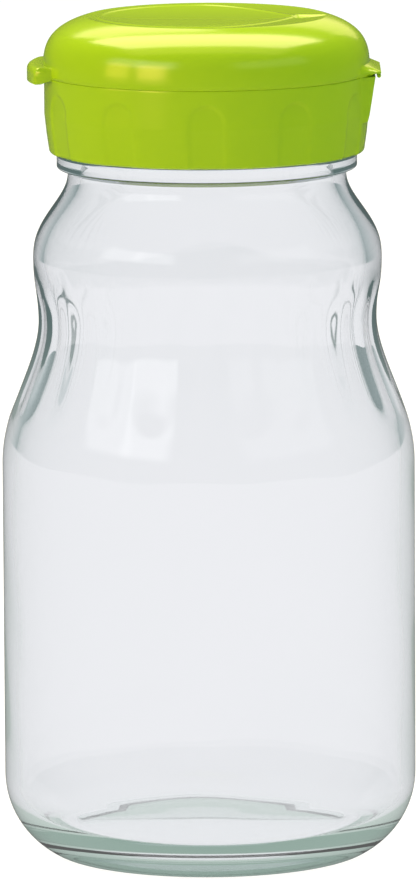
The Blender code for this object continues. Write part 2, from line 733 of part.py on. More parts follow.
def tab_section():
    """The section of the thumb tab: a visor with a rounded edge and a lip that hangs down."""
    top = LID_BOTTOM + TAB_THICKNESS
    lip = LID_BOTTOM - TAB_LIP_DROP
    root = LID_RADIUS - LID_WALL * HALF_SHARE
    points = [(root, top)]
    corner = (TAB_RADIUS - TAB_ROUND, top - TAB_ROUND)
    points += arc(corner, TAB_ROUND, math.pi / 2.0, 0.0, TAB_ROUND_STEPS)
    points.append((TAB_RADIUS, lip + LID_EDGE))
    points.append((TAB_RADIUS - LID_EDGE, lip))
    points.append((TAB_RADIUS - TAB_LIP_WIDTH, lip))
    points.append((TAB_RADIUS - TAB_LIP_WIDTH, LID_BOTTOM + SEAT_GAP))
    points.append((root, LID_BOTTOM + SEAT_GAP))
    return points


def lid_plug_outline():
    """The ring under the lid that closes the pour spout."""
    outer = SPOUT_BORE_RADIUS - PLUG_CLEARANCE
    inner = outer - PLUG_WALL
    top = CEILING_HEIGHT + LID_WALL * HALF_SHARE
    bottom = SPOUT_TOP - PLUG_DEPTH
    return [
        (inner, top),
        (outer, top),
        (outer, bottom + LID_EDGE),
        (outer - LID_EDGE, bottom),
        (inner, bottom),
    ]


def make_lid(parts, helpers):
    """The flip lid: domed shell with a pointed dish, an arrow, a thumb tab and a hinge land."""
    lid = turned("flip_lid", lid_outline(), CAP_STEPS, parts)
    start = math.pi - TAB_ANGLE / 2.0
    tab = swept_section("lid_tab", tab_section(), start, TAB_ANGLE, TAB_STEPS, helpers)
    join_with(lid, tab, "UNION")
    join_with(lid, block("lid_land", lid_land_corner, helpers), "UNION")
    cavity = turned("lid_cavity", lid_cavity_outline(), CAP_STEPS, helpers)
    join_with(lid, cavity, "DIFFERENCE")
    join_with(lid, make_dish(helpers), "DIFFERENCE")
    join_with(lid, make_arrow(helpers), "DIFFERENCE")
    plug = turned("lid_plug", lid_plug_outline(), SPOUT_STEPS, helpers, closed=True)
    plug.location.x = -SPOUT_OFFSET
    join_with(lid, plug, "UNION")
    groove = hinge_rod("lid_hinge_groove", HINGE_WEB_SIZE + SEAT_GAP, COLLAR_RADIUS, helpers)
    join_with(lid, groove, "DIFFERENCE")
    return finish_mesh(lid)


def principled(name, colour, roughness, transmission=0.0):
    """A material with one Principled BSDF."""
    material = bpy.data.materials.new(name)
    material.use_nodes = True
    shader = material.node_tree.nodes["Principled BSDF"]
    shader.inputs["Base Color"].default_value = (*colour, 1.0)
    shader.inputs["Roughness"].default_value = roughness
    shader.inputs["Metallic"].default_value = 0.0
    shader.inputs["Transmission Weight"].default_value = transmission
    return material


def axis_empty(name, place, parent, collection):
    """An empty on a joint's axis that carries the pieces which move with it."""
    empty = bpy.data.objects.new(name, None)
    collection.objects.link(empty)
    if parent:
        empty.parent = parent
        empty.location = Vector(place) - parent.location
    else:
        empty.location = place
    return empty


def hang_on(obj, empty, place):
    """Parents an object to an empty at a known place, and leaves it where it is."""
    obj.parent = empty
    obj.matrix_parent_inverse = Matrix.Translation(-Vector(place))


def main():
    """Builds the bottle."""
    clear_scene()
    parts = collection_named(BASE_COLLECTION)
    helpers = collection_named(HELPER_COLLECTION)
    bottle = make_glass(parts, helpers)
    seal = make_sealing_ring(parts)
    collar = make_collar(parts, helpers)
    web = hinge_rod("hinge_web", HINGE_WEB_SIZE, HINGE_WEB_LENGTH, parts)
    lid = make_lid(parts, helpers)
    cap_place = (0.0, 0.0, RIM_HEIGHT)
    hinge_place = (HINGE_X, 0.0, PARTING_HEIGHT)
    cap_axis = axis_empty("cap_axis", cap_place, None, parts)
    hinge_axis = axis_empty("lid_axis", hinge_place, cap_axis, parts)
    for obj in (seal, collar, web):
        hang_on(obj, cap_axis, cap_place)
    hang_on(lid, hinge_axis, hinge_place)
    bottle.data.materials.append(principled("clear_glass", (0.93, 0.97, 0.95), 0.03, 1.0))
    seal.data.materials.append(principled("soft_white_seal", (0.90, 0.90, 0.87), 0.55))
    green = principled("lime_green_plastic", (0.36, 0.56, 0.02), 0.28)
    for obj in (collar, web, lid):
        obj.data.materials.append(green)


main()
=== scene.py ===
"""The looks of a glass syrup bottle with a lime green screw cap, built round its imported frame.

Metres, +Z up. The camera looks along +Y. The lid's hinge is on the +X side and its thumb tab on -X.
"""

import logging
import math
from bisect import bisect_left
from collections.abc import Callable, Mapping, Sequence
from dataclasses import dataclass, field
from enum import Enum

import bmesh
import bpy
from mathutils import Matrix, Vector


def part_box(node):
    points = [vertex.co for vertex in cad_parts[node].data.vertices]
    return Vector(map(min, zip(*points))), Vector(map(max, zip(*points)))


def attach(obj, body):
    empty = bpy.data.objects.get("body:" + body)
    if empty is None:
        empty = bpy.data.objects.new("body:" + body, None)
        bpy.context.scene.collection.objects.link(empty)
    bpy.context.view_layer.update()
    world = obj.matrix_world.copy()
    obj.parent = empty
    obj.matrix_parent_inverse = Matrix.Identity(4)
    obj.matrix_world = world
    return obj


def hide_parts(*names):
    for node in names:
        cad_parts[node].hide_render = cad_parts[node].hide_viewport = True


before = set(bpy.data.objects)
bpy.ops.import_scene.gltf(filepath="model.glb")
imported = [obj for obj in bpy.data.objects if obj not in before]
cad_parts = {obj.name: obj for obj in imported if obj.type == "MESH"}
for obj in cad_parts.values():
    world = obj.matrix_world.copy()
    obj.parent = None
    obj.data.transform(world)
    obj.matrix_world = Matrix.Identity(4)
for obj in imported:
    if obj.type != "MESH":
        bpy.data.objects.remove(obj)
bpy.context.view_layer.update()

logging.basicConfig(level=logging.INFO, format="%(relativeCreated)d ms: %(message)s")
LOG = logging.getLogger("syrup_bottle")

Point = tuple[float, float]
Triple = tuple[float, float, float]
Mover = Callable[[int, float, float, float], Point]
Socket = bpy.types.NodeSocket

WHITE: Triple = (1.0, 1.0, 1.0)
EVEN: Triple = (1.0, 1.0, 1.0)
POLE_MERGE = 0.000001
SHARP_ANGLE = math.radians(48.0)
SECTOR_DOUBLINGS = 4


class Body(Enum):
    """The bodies that pieces ride on."""

    BOTTLE = "bottle"
    SEAL = "seal"
    COLLAR = "collar"
    LID = "lid"


class Slot(Enum):
    """The record's material slots."""

    GLASS = "clear_glass"
    SEAL = "soft_seal"
    PLASTIC = "lime_plastic"


def eased(start: float, end: float, share: float) -> float:
    """A value between two others that leaves and arrives level.

    Args:
        start: The value at share 0.
        end: The value at share 1.
        share: How far along, from 0 to 1.

    Returns:
        The value there.
    """
    return start + (end - start) * (1.0 - math.cos(math.pi * share)) / 2.0


def smooth_step(value: float) -> float:
    """A soft step from 0 to 1 while the value goes from 0 to 1."""
    share = min(1.0, max(0.0, value))
    return share * share * (3.0 - 2.0 * share)


def mixed(start: float, end: float, share: float) -> float:
    """The straight mix of two values."""
    return start + (end - start) * share


def arc(centre: Point, radius: float, start: float, end: float, steps: int) -> list[Point]:
    """Profile points on an arc, both ends included.

    Args:
        centre: The arc's centre as radius and height.
        radius: The arc's own radius.
        start: The first angle in degrees, from outwards towards up.
        end: The last angle in degrees.
        steps: How many steps it is cut into.

    Returns:
        The points in order.
    """
    angles = [math.radians(mixed(start, end, i / steps)) for i in range(steps + 1)]
    return [(centre[0] + radius * math.cos(a), centre[1] + radius * math.sin(a)) for a in angles]


def run(start: Point, end: Point, steps: int) -> list[Point]:
    """Evenly spaced profile points on a straight line, without its last point."""
    return [
        (mixed(start[0], end[0], i / steps), mixed(start[1], end[1], i / steps)) for i in range(steps)
    ]


def curve(start: Point, end: Point, steps: int, power: float = 1.0) -> list[Point]:
    """Profile points on an S-shaped curve that leaves and arrives upright, both ends included.

    Args:
        start: The first radius and height.
        end: The last radius and height.
        steps: How many steps it is cut into.
        power: Over 1 keeps the curve near its start for longer, and under 1 for shorter.

    Returns:
        The points in order.
    """
    shares = [i / steps for i in range(steps + 1)]
    return [(eased(start[0], end[0], s**power), mixed(start[1], end[1], s)) for s in shares]


def full_round(share: float, fullness: float) -> float:
    """The reach of a quarter round, 1 at share 0 and 0 at share 1. Fullness 2 gives a circle."""
    return (1.0 - share**fullness) ** (1.0 / fullness)


class Lathe:
    """A mesh turned from profiles, whose rings can then be moved vertex by vertex."""

    def __init__(self, segments: int) -> None:
        """Starts an empty mesh.

        Args:
            segments: How many segments a full turn has.
        """
        self.segments = segments
        self.bm = bmesh.new()
        self.ring = self.bm.verts.layers.int.new("ring")
        self.fresh = 0
        self.shifts: list[float] = []

    def turn(self, profile: Sequence[Point], closed: bool = False, shift: float = 0.0) -> None:
        """Turns a profile about an upright axis and adds it to the mesh.

        Args:
            profile: Radius and height of each ring.
            closed: Whether the last point joins the first.
            shift: Where the axis stands along X.
        """
        verts = []
        for index, (radius, height) in enumerate(profile):
            vert = self.bm.verts.new((shift + radius, 0.0, height))
            vert[self.ring] = self.fresh + index
            verts.append(vert)
        pairs = list(zip(verts, verts[1:]))
        if closed:
            pairs.append((verts[-1], verts[0]))
        edges = [self.bm.edges.new(pair) for pair in pairs]
        sectors = 2**SECTOR_DOUBLINGS
        middle = Vector((shift, 0.0, 0.0))
        bmesh.ops.spin(
            self.bm,
            geom=verts + edges,
            cent=middle,
            axis=(0.0, 0.0, 1.0),
            angle=math.tau / sectors,
            steps=self.segments // sectors,
            use_merge=False,
        )
        for doubling in range(SECTOR_DOUBLINGS):
            turned = [v for v in self.bm.verts if v[self.ring] >= self.fresh]
            geom = turned + [e for e in self.bm.edges if e.verts[0][self.ring] >= self.fresh]
            geom += [f for f in self.bm.faces if f.verts[0][self.ring] >= self.fresh]
            copy = bmesh.ops.duplicate(self.bm, geom=geom)["geom"]
            bmesh.ops.rotate(
                self.bm,
                verts=[item for item in copy if isinstance(item, bmesh.types.BMVert)],
                cent=middle,
                matrix=Matrix.Rotation(math.tau / sectors * 2**doubling, 3, "Z"),
            )
        bmesh.ops.remove_doubles(self.bm, verts=self.bm.verts, dist=POLE_MERGE)
        self.fresh += len(profile)
        self.shifts += [shift] * len(profile)

    def move(self, mover: Mover) -> None:
        """Moves every vertex within its own upright half plane.

        Args:
            mover: Gives a vertex its new radius and height from its ring, angle, radius and height.
        """
        for vert in self.bm.verts:
            radius = vert.co.xy.length
            angle = math.atan2(vert.co.y, vert.co.x)
            radius, height = mover(vert[self.ring], angle, radius, vert.co.z)
            vert.co = (radius * math.cos(angle), radius * math.sin(angle), height)

    def rims(self) -> list[list[bmesh.types.BMEdge]]:
        """The open edge loops, from the lowest to the highest."""
        loops: dict[float, list[bmesh.types.BMEdge]] = {}
        for edge in self.bm.edges:
            if edge.is_boundary:
                loops.setdefault(round(edge.verts[0].co.z, 6), []).append(edge)
        return [loops[height] for height in sorted(loops)]

    def close(self) -> None:
        """Fills the plate between the two open loops at each height, joining them angle by angle."""
        for edges in self.rims():
            loops: dict[float, dict[int, bmesh.types.BMVert]] = {}
            for edge in edges:
                for vert in edge.verts:
                    shift = self.shifts[vert[self.ring]]
                    angle = math.atan2(vert.co.y, vert.co.x - shift)
                    step = round(angle / math.tau * self.segments) % self.segments
                    loops.setdefault(shift, {})[step] = vert
            first, second = loops.values()
            for step in range(self.segments):
                after = (step + 1) % self.segments
                self.bm.faces.new((first[step], first[after], second[after], second[step]))

    def piece(self, name: str) -> bpy.types.Object:
        """Makes the mesh an object at the origin, faces outwards and smooth but for its corners.

        Args:
            name: The piece's name.

        Returns:
            The new object.
        """
        bmesh.ops.recalc_face_normals(self.bm, faces=self.bm.faces)
        return mesh_piece(name, self.bm)


def mesh_piece(name: str, bm: bmesh.types.BMesh) -> bpy.types.Object:
    """Writes a bmesh to a new object at the origin and frees it.

    Args:
        name: The piece's name.
        bm: The finished mesh.

    Returns:
        The new object.
    """
    mesh = bpy.data.meshes.new(name)
    bm.to_mesh(mesh)
    bm.free()
    mesh.shade_smooth()
    mesh.set_sharp_from_angle(angle=SHARP_ANGLE)
    obj = bpy.data.objects.new(name, mesh)
    bpy.context.scene.collection.objects.link(obj)
    return obj


def seat(obj: bpy.types.Object, body: Body, material: bpy.types.Material, node: str) -> None:
    """Dresses a piece, hangs it on its body and lets it stand for its node.

    Args:
        obj: The piece.
        body: The body that it moves with.
        material: Its material.
        node: The node that it replaces.
    """
    obj.data.materials.clear()
    obj.data.materials.append(material)
    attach(obj, body.value)
    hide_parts(node)
    LOG.info("%s: %d faces, rides on %s", obj.name, len(obj.data.polygons), body.value)


class Shader:
    """A short way to add and join the nodes of one material or world."""

    def __init__(self, owner: bpy.types.Material | bpy.types.World) -> None:
        """Starts with no nodes.

        Args:
            owner: The material or world to build in.
        """
        owner.use_nodes = True
        self.tree = owner.node_tree
        self.tree.nodes.clear()

    def add(
        self, kind: str, feeds: Mapping[int | str, object] | None = None, **options: object
    ) -> bpy.types.Node:
        """Adds a node, sets its options and feeds its inputs.

        Args:
            kind: The node's type name, without the word ShaderNode.
            feeds: What goes into its inputs, by name or number: a socket, a number or a colour.
            options: Options of the node by name.

        Returns:
            The node.
        """
        node = self.tree.nodes.new("ShaderNode" + kind)
        for name, value in options.items():
            setattr(node, name, value)
        for place, value in (feeds or {}).items():
            target = node.inputs[place]
            if isinstance(value, Socket):
                self.tree.links.new(value, target)
            elif target.type == "RGBA":
                target.default_value = (*value, 1.0)
            else:
                target.default_value = value
        return node

    def sums(self, operation: str, *terms: object) -> Socket:
        """The result of a Math node on sockets or numbers, in order."""
        return self.add("Math", dict(enumerate(terms)), operation=operation).outputs[0]

    def noise(self, scale: float, detail: float, stretch: Triple = EVEN) -> Socket:
        """Adds a noise pattern on the object's own coordinates.

        Args:
            scale: How fine it is, per metre.
            detail: How many finer layers it has.
            stretch: Scale along each axis.

        Returns:
            Its value, from 0 to 1.
        """
        place = self.add("TexCoord").outputs["Object"]
        mapped = self.add("Mapping", {"Scale": stretch, "Vector": place}).outputs["Vector"]
        pattern = self.add("TexNoise", {"Scale": scale, "Detail": detail, "Vector": mapped})
        return pattern.outputs["Fac"]

    def ranged(self, value: Socket, low: float, high: float) -> Socket:
        """Spreads a value from 0 to 1 over another range."""
        return self.add("MapRange", {"To Min": low, "To Max": high, "Value": value}).outputs["Result"]

    def step(self, value: Socket, start: float, end: float) -> Socket:
        """A soft step from 0 at start to 1 at end."""
        feeds = {"From Min": start, "From Max": end, "Value": value}
        return self.add("MapRange", feeds, interpolation_type="SMOOTHSTEP").outputs["Result"]

    def bump(self, height: Socket, depth: float, strength: float) -> Socket:
        """The normal of a pattern that stands up by a depth in metres, shown at a strength."""
        feeds = {"Strength": strength, "Distance": depth, "Height": height}
        return self.add("Bump", feeds).outputs["Normal"]

    def blend(self, first: Triple, second: Triple | Socket, share: Socket) -> Socket:
        """The colour between two others, the first at share 0 and the second at 1."""
        feeds = {"A": first, "B": second, "Factor": share}
        return self.add("Mix", feeds, data_type="RGBA").outputs["Result"]

    def either(self, first: bpy.types.Node, second: bpy.types.Node, share: Socket) -> bpy.types.Node:
        """A Mix Shader with the first shader at share 0 and the second at 1."""
        return self.add("MixShader", {"Fac": share, 1: first.outputs[0], 2: second.outputs[0]})

    def axes(self, space: str) -> bpy.types.NodeOutputs:
        """The X, Y and Z of a place in one of Blender's texture spaces, by name."""
        place = self.add("TexCoord").outputs[space]
        return self.add("SeparateXYZ", {"Vector": place}).outputs

    def show(self, surface: bpy.types.Node, output: str = "OutputMaterial", **more: Socket) -> None:
        """Feeds the output with the finished surface and, by name, with what else it takes."""
        self.add(output, {"Surface": surface.outputs[0], **more})


@dataclass(frozen=True)
class LimePlastic:
    """Bright lime green polypropylene with a soft moulded gloss."""

    colour: Triple = (0.33, 0.52, 0.005)
    pale_colour: Triple = (0.345, 0.54, 0.007)
    roughness: float = 0.16
    roughness_spread: float = 0.04
    mirror_level: float = 0.75
    mirror_tint: Triple = (1.0, 0.97, 0.85)
    grain_scale: float = 2600.0
    grain_detail: float = 2.0
    grain_depth: float = 0.000002
    grain_strength: float = 0.06
    flow_scale: float = 45.0
    flow_detail: float = 3.0
    flow_stretch: Triple = (1.0, 1.0, 0.5)

    def material(self) -> bpy.types.Material:
        """Builds the material.

        Returns:
            The new material.
        """
        material = bpy.data.materials.new("lime_plastic")
        shader = Shader(material)
        flow = shader.noise(self.flow_scale, self.flow_detail, self.flow_stretch)
        grain = shader.noise(self.grain_scale, self.grain_detail)
        feeds = {
            "Base Color": shader.blend(self.colour, self.pale_colour, flow),
            "Roughness": shader.ranged(flow, self.roughness, self.roughness + self.roughness_spread),
            "Normal": shader.bump(grain, self.grain_depth, self.grain_strength),
            "Specular IOR Level": self.mirror_level,
            "Specular Tint": self.mirror_tint,
        }
        shader.show(shader.add("BsdfPrincipled", feeds))
        return material


@dataclass(frozen=True)
class SoftSeal:
    """Off-white soft sealing ring."""

    colour: Triple = (0.80, 0.80, 0.74)
    roughness: float = 0.55
    roughness_spread: float = 0.15
    grain_scale: float = 900.0
    grain_detail: float = 4.0
    grain_depth: float = 0.00003
    grain_strength: float = 0.4

    def material(self) -> bpy.types.Material:
        """Builds the material.

        Returns:
            The new material.
        """
        material = bpy.data.materials.new("soft_seal")
        shader = Shader(material)
        grain = shader.noise(self.grain_scale, self.grain_detail)
        feeds = {
            "Base Color": self.colour,
            "Roughness": shader.ranged(grain, self.roughness, self.roughness + self.roughness_spread),
            "Normal": shader.bump(grain, self.grain_depth, self.grain_strength),
        }
        shader.show(shader.add("BsdfPrincipled", feeds))
        return material


@dataclass(frozen=True)
class ClearGlass:
    """Clear soda-lime glass, faintly green where it is thick.

    Rays that the wall traps show a painted glow, pale low down and painted shade high up, where real
    glass would show light from many bounces.
    """

    index: float = 1.52
    roughness: float = 0.0
    absorbed_colour: Triple = (0.44, 0.59, 0.53)
    absorption: float = 16.0
    lamp_colour: Triple = (0.92, 0.95, 0.94)
    ripple_scale: float = 70.0
    ripple_detail: float = 2.0
    ripple_stretch: Triple = (1.0, 1.0, 0.35)
    ripple_depth: float = 0.00002
    ripple_strength: float = 0.5
    trapped_glow_low: Triple = (0.70, 0.77, 0.74)
    trapped_shade_high: Triple = (0.13, 0.19, 0.19)
    glow_to_shade_heights: tuple[float, float] = (0.085, 0.13)
    trapped_depth: float = 2.5

    def material(self) -> bpy.types.Material:
        """Builds the material. Lamps shine through it, so that it throws no dark shadow.

        Returns:
            The new material.
        """
        material = bpy.data.materials.new("clear_glass")
        shader = Shader(material)
        ripple = shader.noise(self.ripple_scale, self.ripple_detail, self.ripple_stretch)
        feeds = {
            "Base Color": WHITE,
            "Transmission Weight": 1.0,
            "IOR": self.index,
            "Roughness": self.roughness,
            "Normal": shader.bump(ripple, self.ripple_depth, self.ripple_strength),
        }
        surface = shader.add("BsdfPrincipled", feeds)
        rays = shader.add("LightPath").outputs
        # Painted light and shade: deep rays glow pale low on the bottle and dark high up, in place of
        # bounced light.
        rise = shader.step(shader.axes("Object")["Z"], *self.glow_to_shade_heights)
        glow_tone = shader.blend(self.trapped_glow_low, self.trapped_shade_high, rise)
        painted_glow = shader.add("Emission", {"Color": glow_tone, "Strength": 1.0})
        deep = shader.sums("GREATER_THAN", rays["Glossy Depth"], self.trapped_depth)
        seen = shader.either(surface, painted_glow, deep)
        lamp_way = shader.add("BsdfTransparent", {"Color": self.lamp_colour})
        thickness = {"Color": self.absorbed_colour, "Density": self.absorption}
        volume = shader.add("VolumeAbsorption", thickness).outputs["Volume"]
        shader.show(shader.either(seen, lamp_way, rays["Is Shadow Ray"]), Volume=volume)
        return material


@dataclass(frozen=True)
class Wave:
    """One slow swell of the blown glass: how strong it is, and its turns round and up the bottle."""

    strength: float
    around: float
    up: float
    start: float = 0.0


@dataclass
class Thread:
    """A helical thread: where it starts and how it stands out from its wall."""

    start: float
    lead: float = 0.006
    turns: float = 1.25
    half_width: float = 0.0017
    run_out: float = math.radians(45.0)

    def height_at(self, angle: float, height: float, size: float) -> float:
        """How far the thread stands out at a place on its wall.

        Args:
            angle: The angle about the axis.
            height: The height on the wall.
            size: How far the full thread stands out.

        Returns:
            The height of the thread there.
        """
        best = 0.0
        for turn in range(math.ceil(self.turns) + 1):
            travel = angle % math.tau + math.tau * turn
            if travel > math.tau * self.turns:
                break
            across = abs(height - self.start - self.lead * travel / math.tau) / self.half_width
            if across >= 1.0:
                continue
            end = min(travel, math.tau * self.turns - travel) / self.run_out
            best = max(best, size * math.sqrt(1.0 - across * across) * smooth_step(end))
        return best


@dataclass
class GlassBottle:
    """The blown glass bottle: fluted waist, neck, transfer bead, threaded finish."""

    finish: ClearGlass
    segments: int = 288
    heel_radius: float = 0.021
    heel_angle: float = 61.5
    foot_radius: float = 0.0054
    base_ring_width: float = 0.0035
    push_up_height: float = 0.004
    body_top: float = 0.094
    waist_radius: float = 0.0404
    waist_rise: float = 0.0346
    bulb_swell: float = 0.0011
    bulb_rise: float = 0.0144
    finish_radius: float = 0.0339
    neck_draw: float = 0.0008
    neck_rise: float = 0.0205
    shoulder_power: float = 1.25
    flare_power: float = 0.9
    bead_reach: float = 0.0018
    bead_rise: float = 0.0005
    bead_height: float = 0.0043
    bead_round: float = 0.0006
    bead_slope: float = 0.0009
    bead_foot_angle: float = -70.0
    bead_top_round: float = 0.0005
    rim_round: float = 0.0008
    flute_count: int = 24
    flute_depth: float = 0.0005
    flute_rise: float = 0.0105
    flute_drop: float = 0.0045
    flute_end_share: float = 0.45
    flute_turn: float = math.radians(-92.0)
    finish_wall: float = 0.0039
    wall: float = 0.003
    floor_crown: float = 0.010
    floor_edge: float = 0.0065
    inner_corner: float = 0.011
    thread_size: float = 0.0017
    thread_drop: float = 0.004
    wave_depth: float = 0.00009
    wave_fade: float = 0.02
    wave_fade_foot: float = 0.03
    waves: tuple[Wave, ...] = (
        Wave(1.0, 3.0, 2.0),
        Wave(0.7, 5.0, -3.0, 1.0),
        Wave(0.35, 11.0, 5.0, 2.0),
        Wave(0.5, 1.0, 4.0),
    )
    base_steps: int = 16
    body_steps: int = 16
    flare_steps: int = 44
    bulb_steps: int = 18
    shoulder_steps: int = 24
    finish_steps: int = 40
    inner_steps: tuple[int, ...] = (14, 10, 18)
    floor_steps: int = 10

    def __post_init__(self) -> None:
        """Takes the body's radius and the rim's height from the frame and works out the rest."""
        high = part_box("glass_bottle")[1]
        self.body_radius = high.x
        self.rim_height = high.z
        self.waist_height = self.body_top + self.waist_rise
        self.bulb_radius = self.waist_radius + self.bulb_swell
        self.bulb_height = self.waist_height + self.bulb_rise
        self.neck_radius = self.finish_radius - self.neck_draw
        self.neck_height = self.bulb_height + self.neck_rise
        self.bead_bottom = self.neck_height + self.bead_rise
        self.bead_top = self.bead_bottom + self.bead_height
        self.mouth_radius = self.finish_radius - self.finish_wall
        self.thread = Thread(self.rim_height - self.thread_drop - Thread.lead * Thread.turns)

    def foot_profile(self) -> list[Point]:
        """The outside from the middle of the pushed-up base to the straight body.

        Returns:
            The points in order.
        """
        reach = self.heel_radius - self.foot_radius
        heel = math.radians(self.heel_angle)
        foot_x = self.body_radius - self.heel_radius + reach * math.cos(heel)
        ring_inside = foot_x - self.base_ring_width
        points = []
        for i in range(self.base_steps):
            share = i / self.base_steps
            points.append((ring_inside * share, self.push_up_height * (1.0 - share**2)))
        points += run((ring_inside, 0.0), (foot_x, 0.0), 3)
        points += arc((foot_x, self.foot_radius), self.foot_radius, -90.0, -self.heel_angle, 6)[:-1]
        heel_centre = (self.body_radius - self.heel_radius, self.foot_radius + reach * math.sin(heel))
        points += arc(heel_centre, self.heel_radius, -self.heel_angle, 0.0, self.base_steps)[:-1]
        body_start = (self.body_radius, heel_centre[1])
        return points + run(body_start, (self.body_radius, self.body_top), self.body_steps)

    def waist_profile(self) -> list[Point]:
        """The outside from the top of the body over the waist and the bulb to the neck.

        Returns:
            The points in order.
        """
        body = (self.body_radius, self.body_top)
        waist = (self.waist_radius, self.waist_height)
        bulb = (self.bulb_radius, self.bulb_height)
        neck = (self.neck_radius, self.neck_height)
        flare = curve(waist, body, self.flare_steps, self.flare_power)
        shoulder = curve(bulb, neck, self.shoulder_steps, self.shoulder_power)
        return flare[:0:-1] + curve(waist, bulb, self.bulb_steps)[:-1] + shoulder[:-1]

    def finish_profile(self) -> list[Point]:
        """The outside from the neck over the transfer bead and the finish to the rim.

        Returns:
            The points in order.
        """
        points = run((self.neck_radius, self.neck_height), (self.neck_radius, self.bead_bottom), 2)
        bead = self.finish_radius + self.bead_reach
        corner = (bead - self.bead_round, self.bead_bottom + self.bead_slope + self.bead_round)
        foot = arc(corner, self.bead_round, self.bead_foot_angle, 0.0, 5)
        points += run((self.neck_radius, self.bead_bottom), foot[0], 6) + foot[:-1]
        shoulder = self.bead_top - self.bead_top_round
        points += run((bead, corner[1]), (bead, shoulder), 5)
        points += arc((bead - self.bead_top_round, shoulder), self.bead_top_round, 0.0, 90.0, 4)
        top = self.rim_height - self.rim_round
        points += run((self.finish_radius, self.bead_top), (self.finish_radius, top), self.finish_steps)
        points += arc((self.finish_radius - self.rim_round, top), self.rim_round, 0.0, 90.0, 6)
        return points

    def inner_profile(self) -> list[Point]:
        """The inside from the rim down to the middle of the floor.

        Returns:
            The points in order.
        """
        centre = (self.mouth_radius + self.rim_round, self.rim_height - self.rim_round)
        points = arc(centre, self.rim_round, 90.0, 180.0, 5)
        points += run((self.mouth_radius, centre[1]), (self.mouth_radius, self.neck_height), 6)[1:]
        body = self.body_radius - self.wall
        knots = (
            (self.mouth_radius, self.neck_height),
            (self.bulb_radius - self.wall, self.bulb_height),
            (self.waist_radius - self.flute_depth - self.wall, self.waist_height),
            (body, self.body_top),
        )
        for upper, lower, steps in zip(knots, knots[1:], self.inner_steps):
            points += curve(upper, lower, steps)[:-1]
        corner = (body - self.inner_corner, self.floor_edge + self.inner_corner)
        points += run((body, self.body_top), (body, corner[1]), self.body_steps)
        points += arc(corner, self.inner_corner, 0.0, -90.0, 12)
        for i in range(1, self.floor_steps + 1):
            share = 1.0 - i / self.floor_steps
            rise = (self.floor_crown - self.floor_edge) * (1.0 - share**2)
            points.append((corner[0] * share, self.floor_edge + rise))
        return points

    def flute_inset(self, angle: float, height: float) -> float:
        """How far a flute lies below the turned surface at a place.

        Args:
            angle: The angle about the axis.
            height: The height of the place.

        Returns:
            The depth there.
        """
        low = self.body_top + self.flute_rise
        high = self.bulb_height - self.flute_drop
        reach = abs(2.0 * height - high - low) / (high - low)
        if reach >= 1.0:
            return 0.0
        depth = self.flute_depth * smooth_step((1.0 - reach) / self.flute_end_share)
        across = math.cos(self.flute_count * (angle - self.flute_turn))
        return depth * (0.5 + 0.5 * across)

    def wave(self, angle: float, height: float) -> float:
        """The gentle unevenness of the blown inside at a place.

        Args:
            angle: The angle about the axis.
            height: The height of the place.

        Returns:
            How far the inside is moved out there.
        """
        tall = height / self.rim_height * math.tau
        swell = sum(w.strength * math.sin(w.around * angle + w.up * tall + w.start) for w in self.waves)
        return self.wave_depth * swell

    def build(self) -> bpy.types.Object:
        """Turns the bottle, presses its flutes and raises its thread.

        Returns:
            The finished piece.
        """
        outer = self.foot_profile() + self.waist_profile() + self.finish_profile()
        inner = self.inner_profile()
        lathe = Lathe(self.segments)
        lathe.turn(outer + inner[1:])
        last_outer = len(outer)

        def mover(ring: int, angle: float, radius: float, height: float) -> Point:
            """Places one vertex of the glass.

            Args:
                ring: The vertex's place in the profile.
                angle: Its angle about the axis.
                radius: Its radius as turned.
                height: Its height as turned.

            Returns:
                Its new radius and height.
            """
            if ring >= last_outer:
                up = smooth_step((self.neck_height - height) / self.wave_fade)
                shown = up * smooth_step(height / self.wave_fade_foot)
                across = smooth_step(radius / self.wave_fade)
                return radius + self.wave(angle, height) * shown * across, height
            if height > self.bead_top and radius > self.finish_radius - POLE_MERGE:
                return radius + self.thread.height_at(angle, height, self.thread_size), height
            return radius - self.flute_inset(angle, height), height

        lathe.move(mover)
        return lathe.piece("bottle_glass")

    def dress(self) -> bpy.types.Object:
        """Builds the glass and seats it.

        Returns:
            The seated piece.
        """
        glass = self.build()
        seat(glass, Body.BOTTLE, self.finish.material(), "glass_bottle")
        return glass


@dataclass
class SealingRing:
    """The soft ring between the deck and the glass rim."""

    finish: SoftSeal
    segments: int = 192
    bore_radius: float = 0.0304
    round_radius: float = 0.0004

    def build(self) -> bpy.types.Object:
        """Turns the ring with round edges.

        Returns:
            The finished piece.
        """
        low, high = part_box("sealing_ring")
        inside = self.bore_radius + self.round_radius
        outside = high.x - self.round_radius
        profile = []
        corners = (
            (outside, high.z - self.round_radius, 0.0),
            (inside, high.z - self.round_radius, 90.0),
            (inside, low.z + self.round_radius, 180.0),
            (outside, low.z + self.round_radius, 270.0),
        )
        for radius, height, start in corners:
            profile += arc((radius, height), self.round_radius, start, start + 90.0, 4)
        lathe = Lathe(self.segments)
        lathe.turn(profile, closed=True)
        return lathe.piece("seal_ring")

    def dress(self) -> None:
        """Builds the ring and seats it."""
        seat(self.build(), Body.SEAL, self.finish.material(), "sealing_ring")


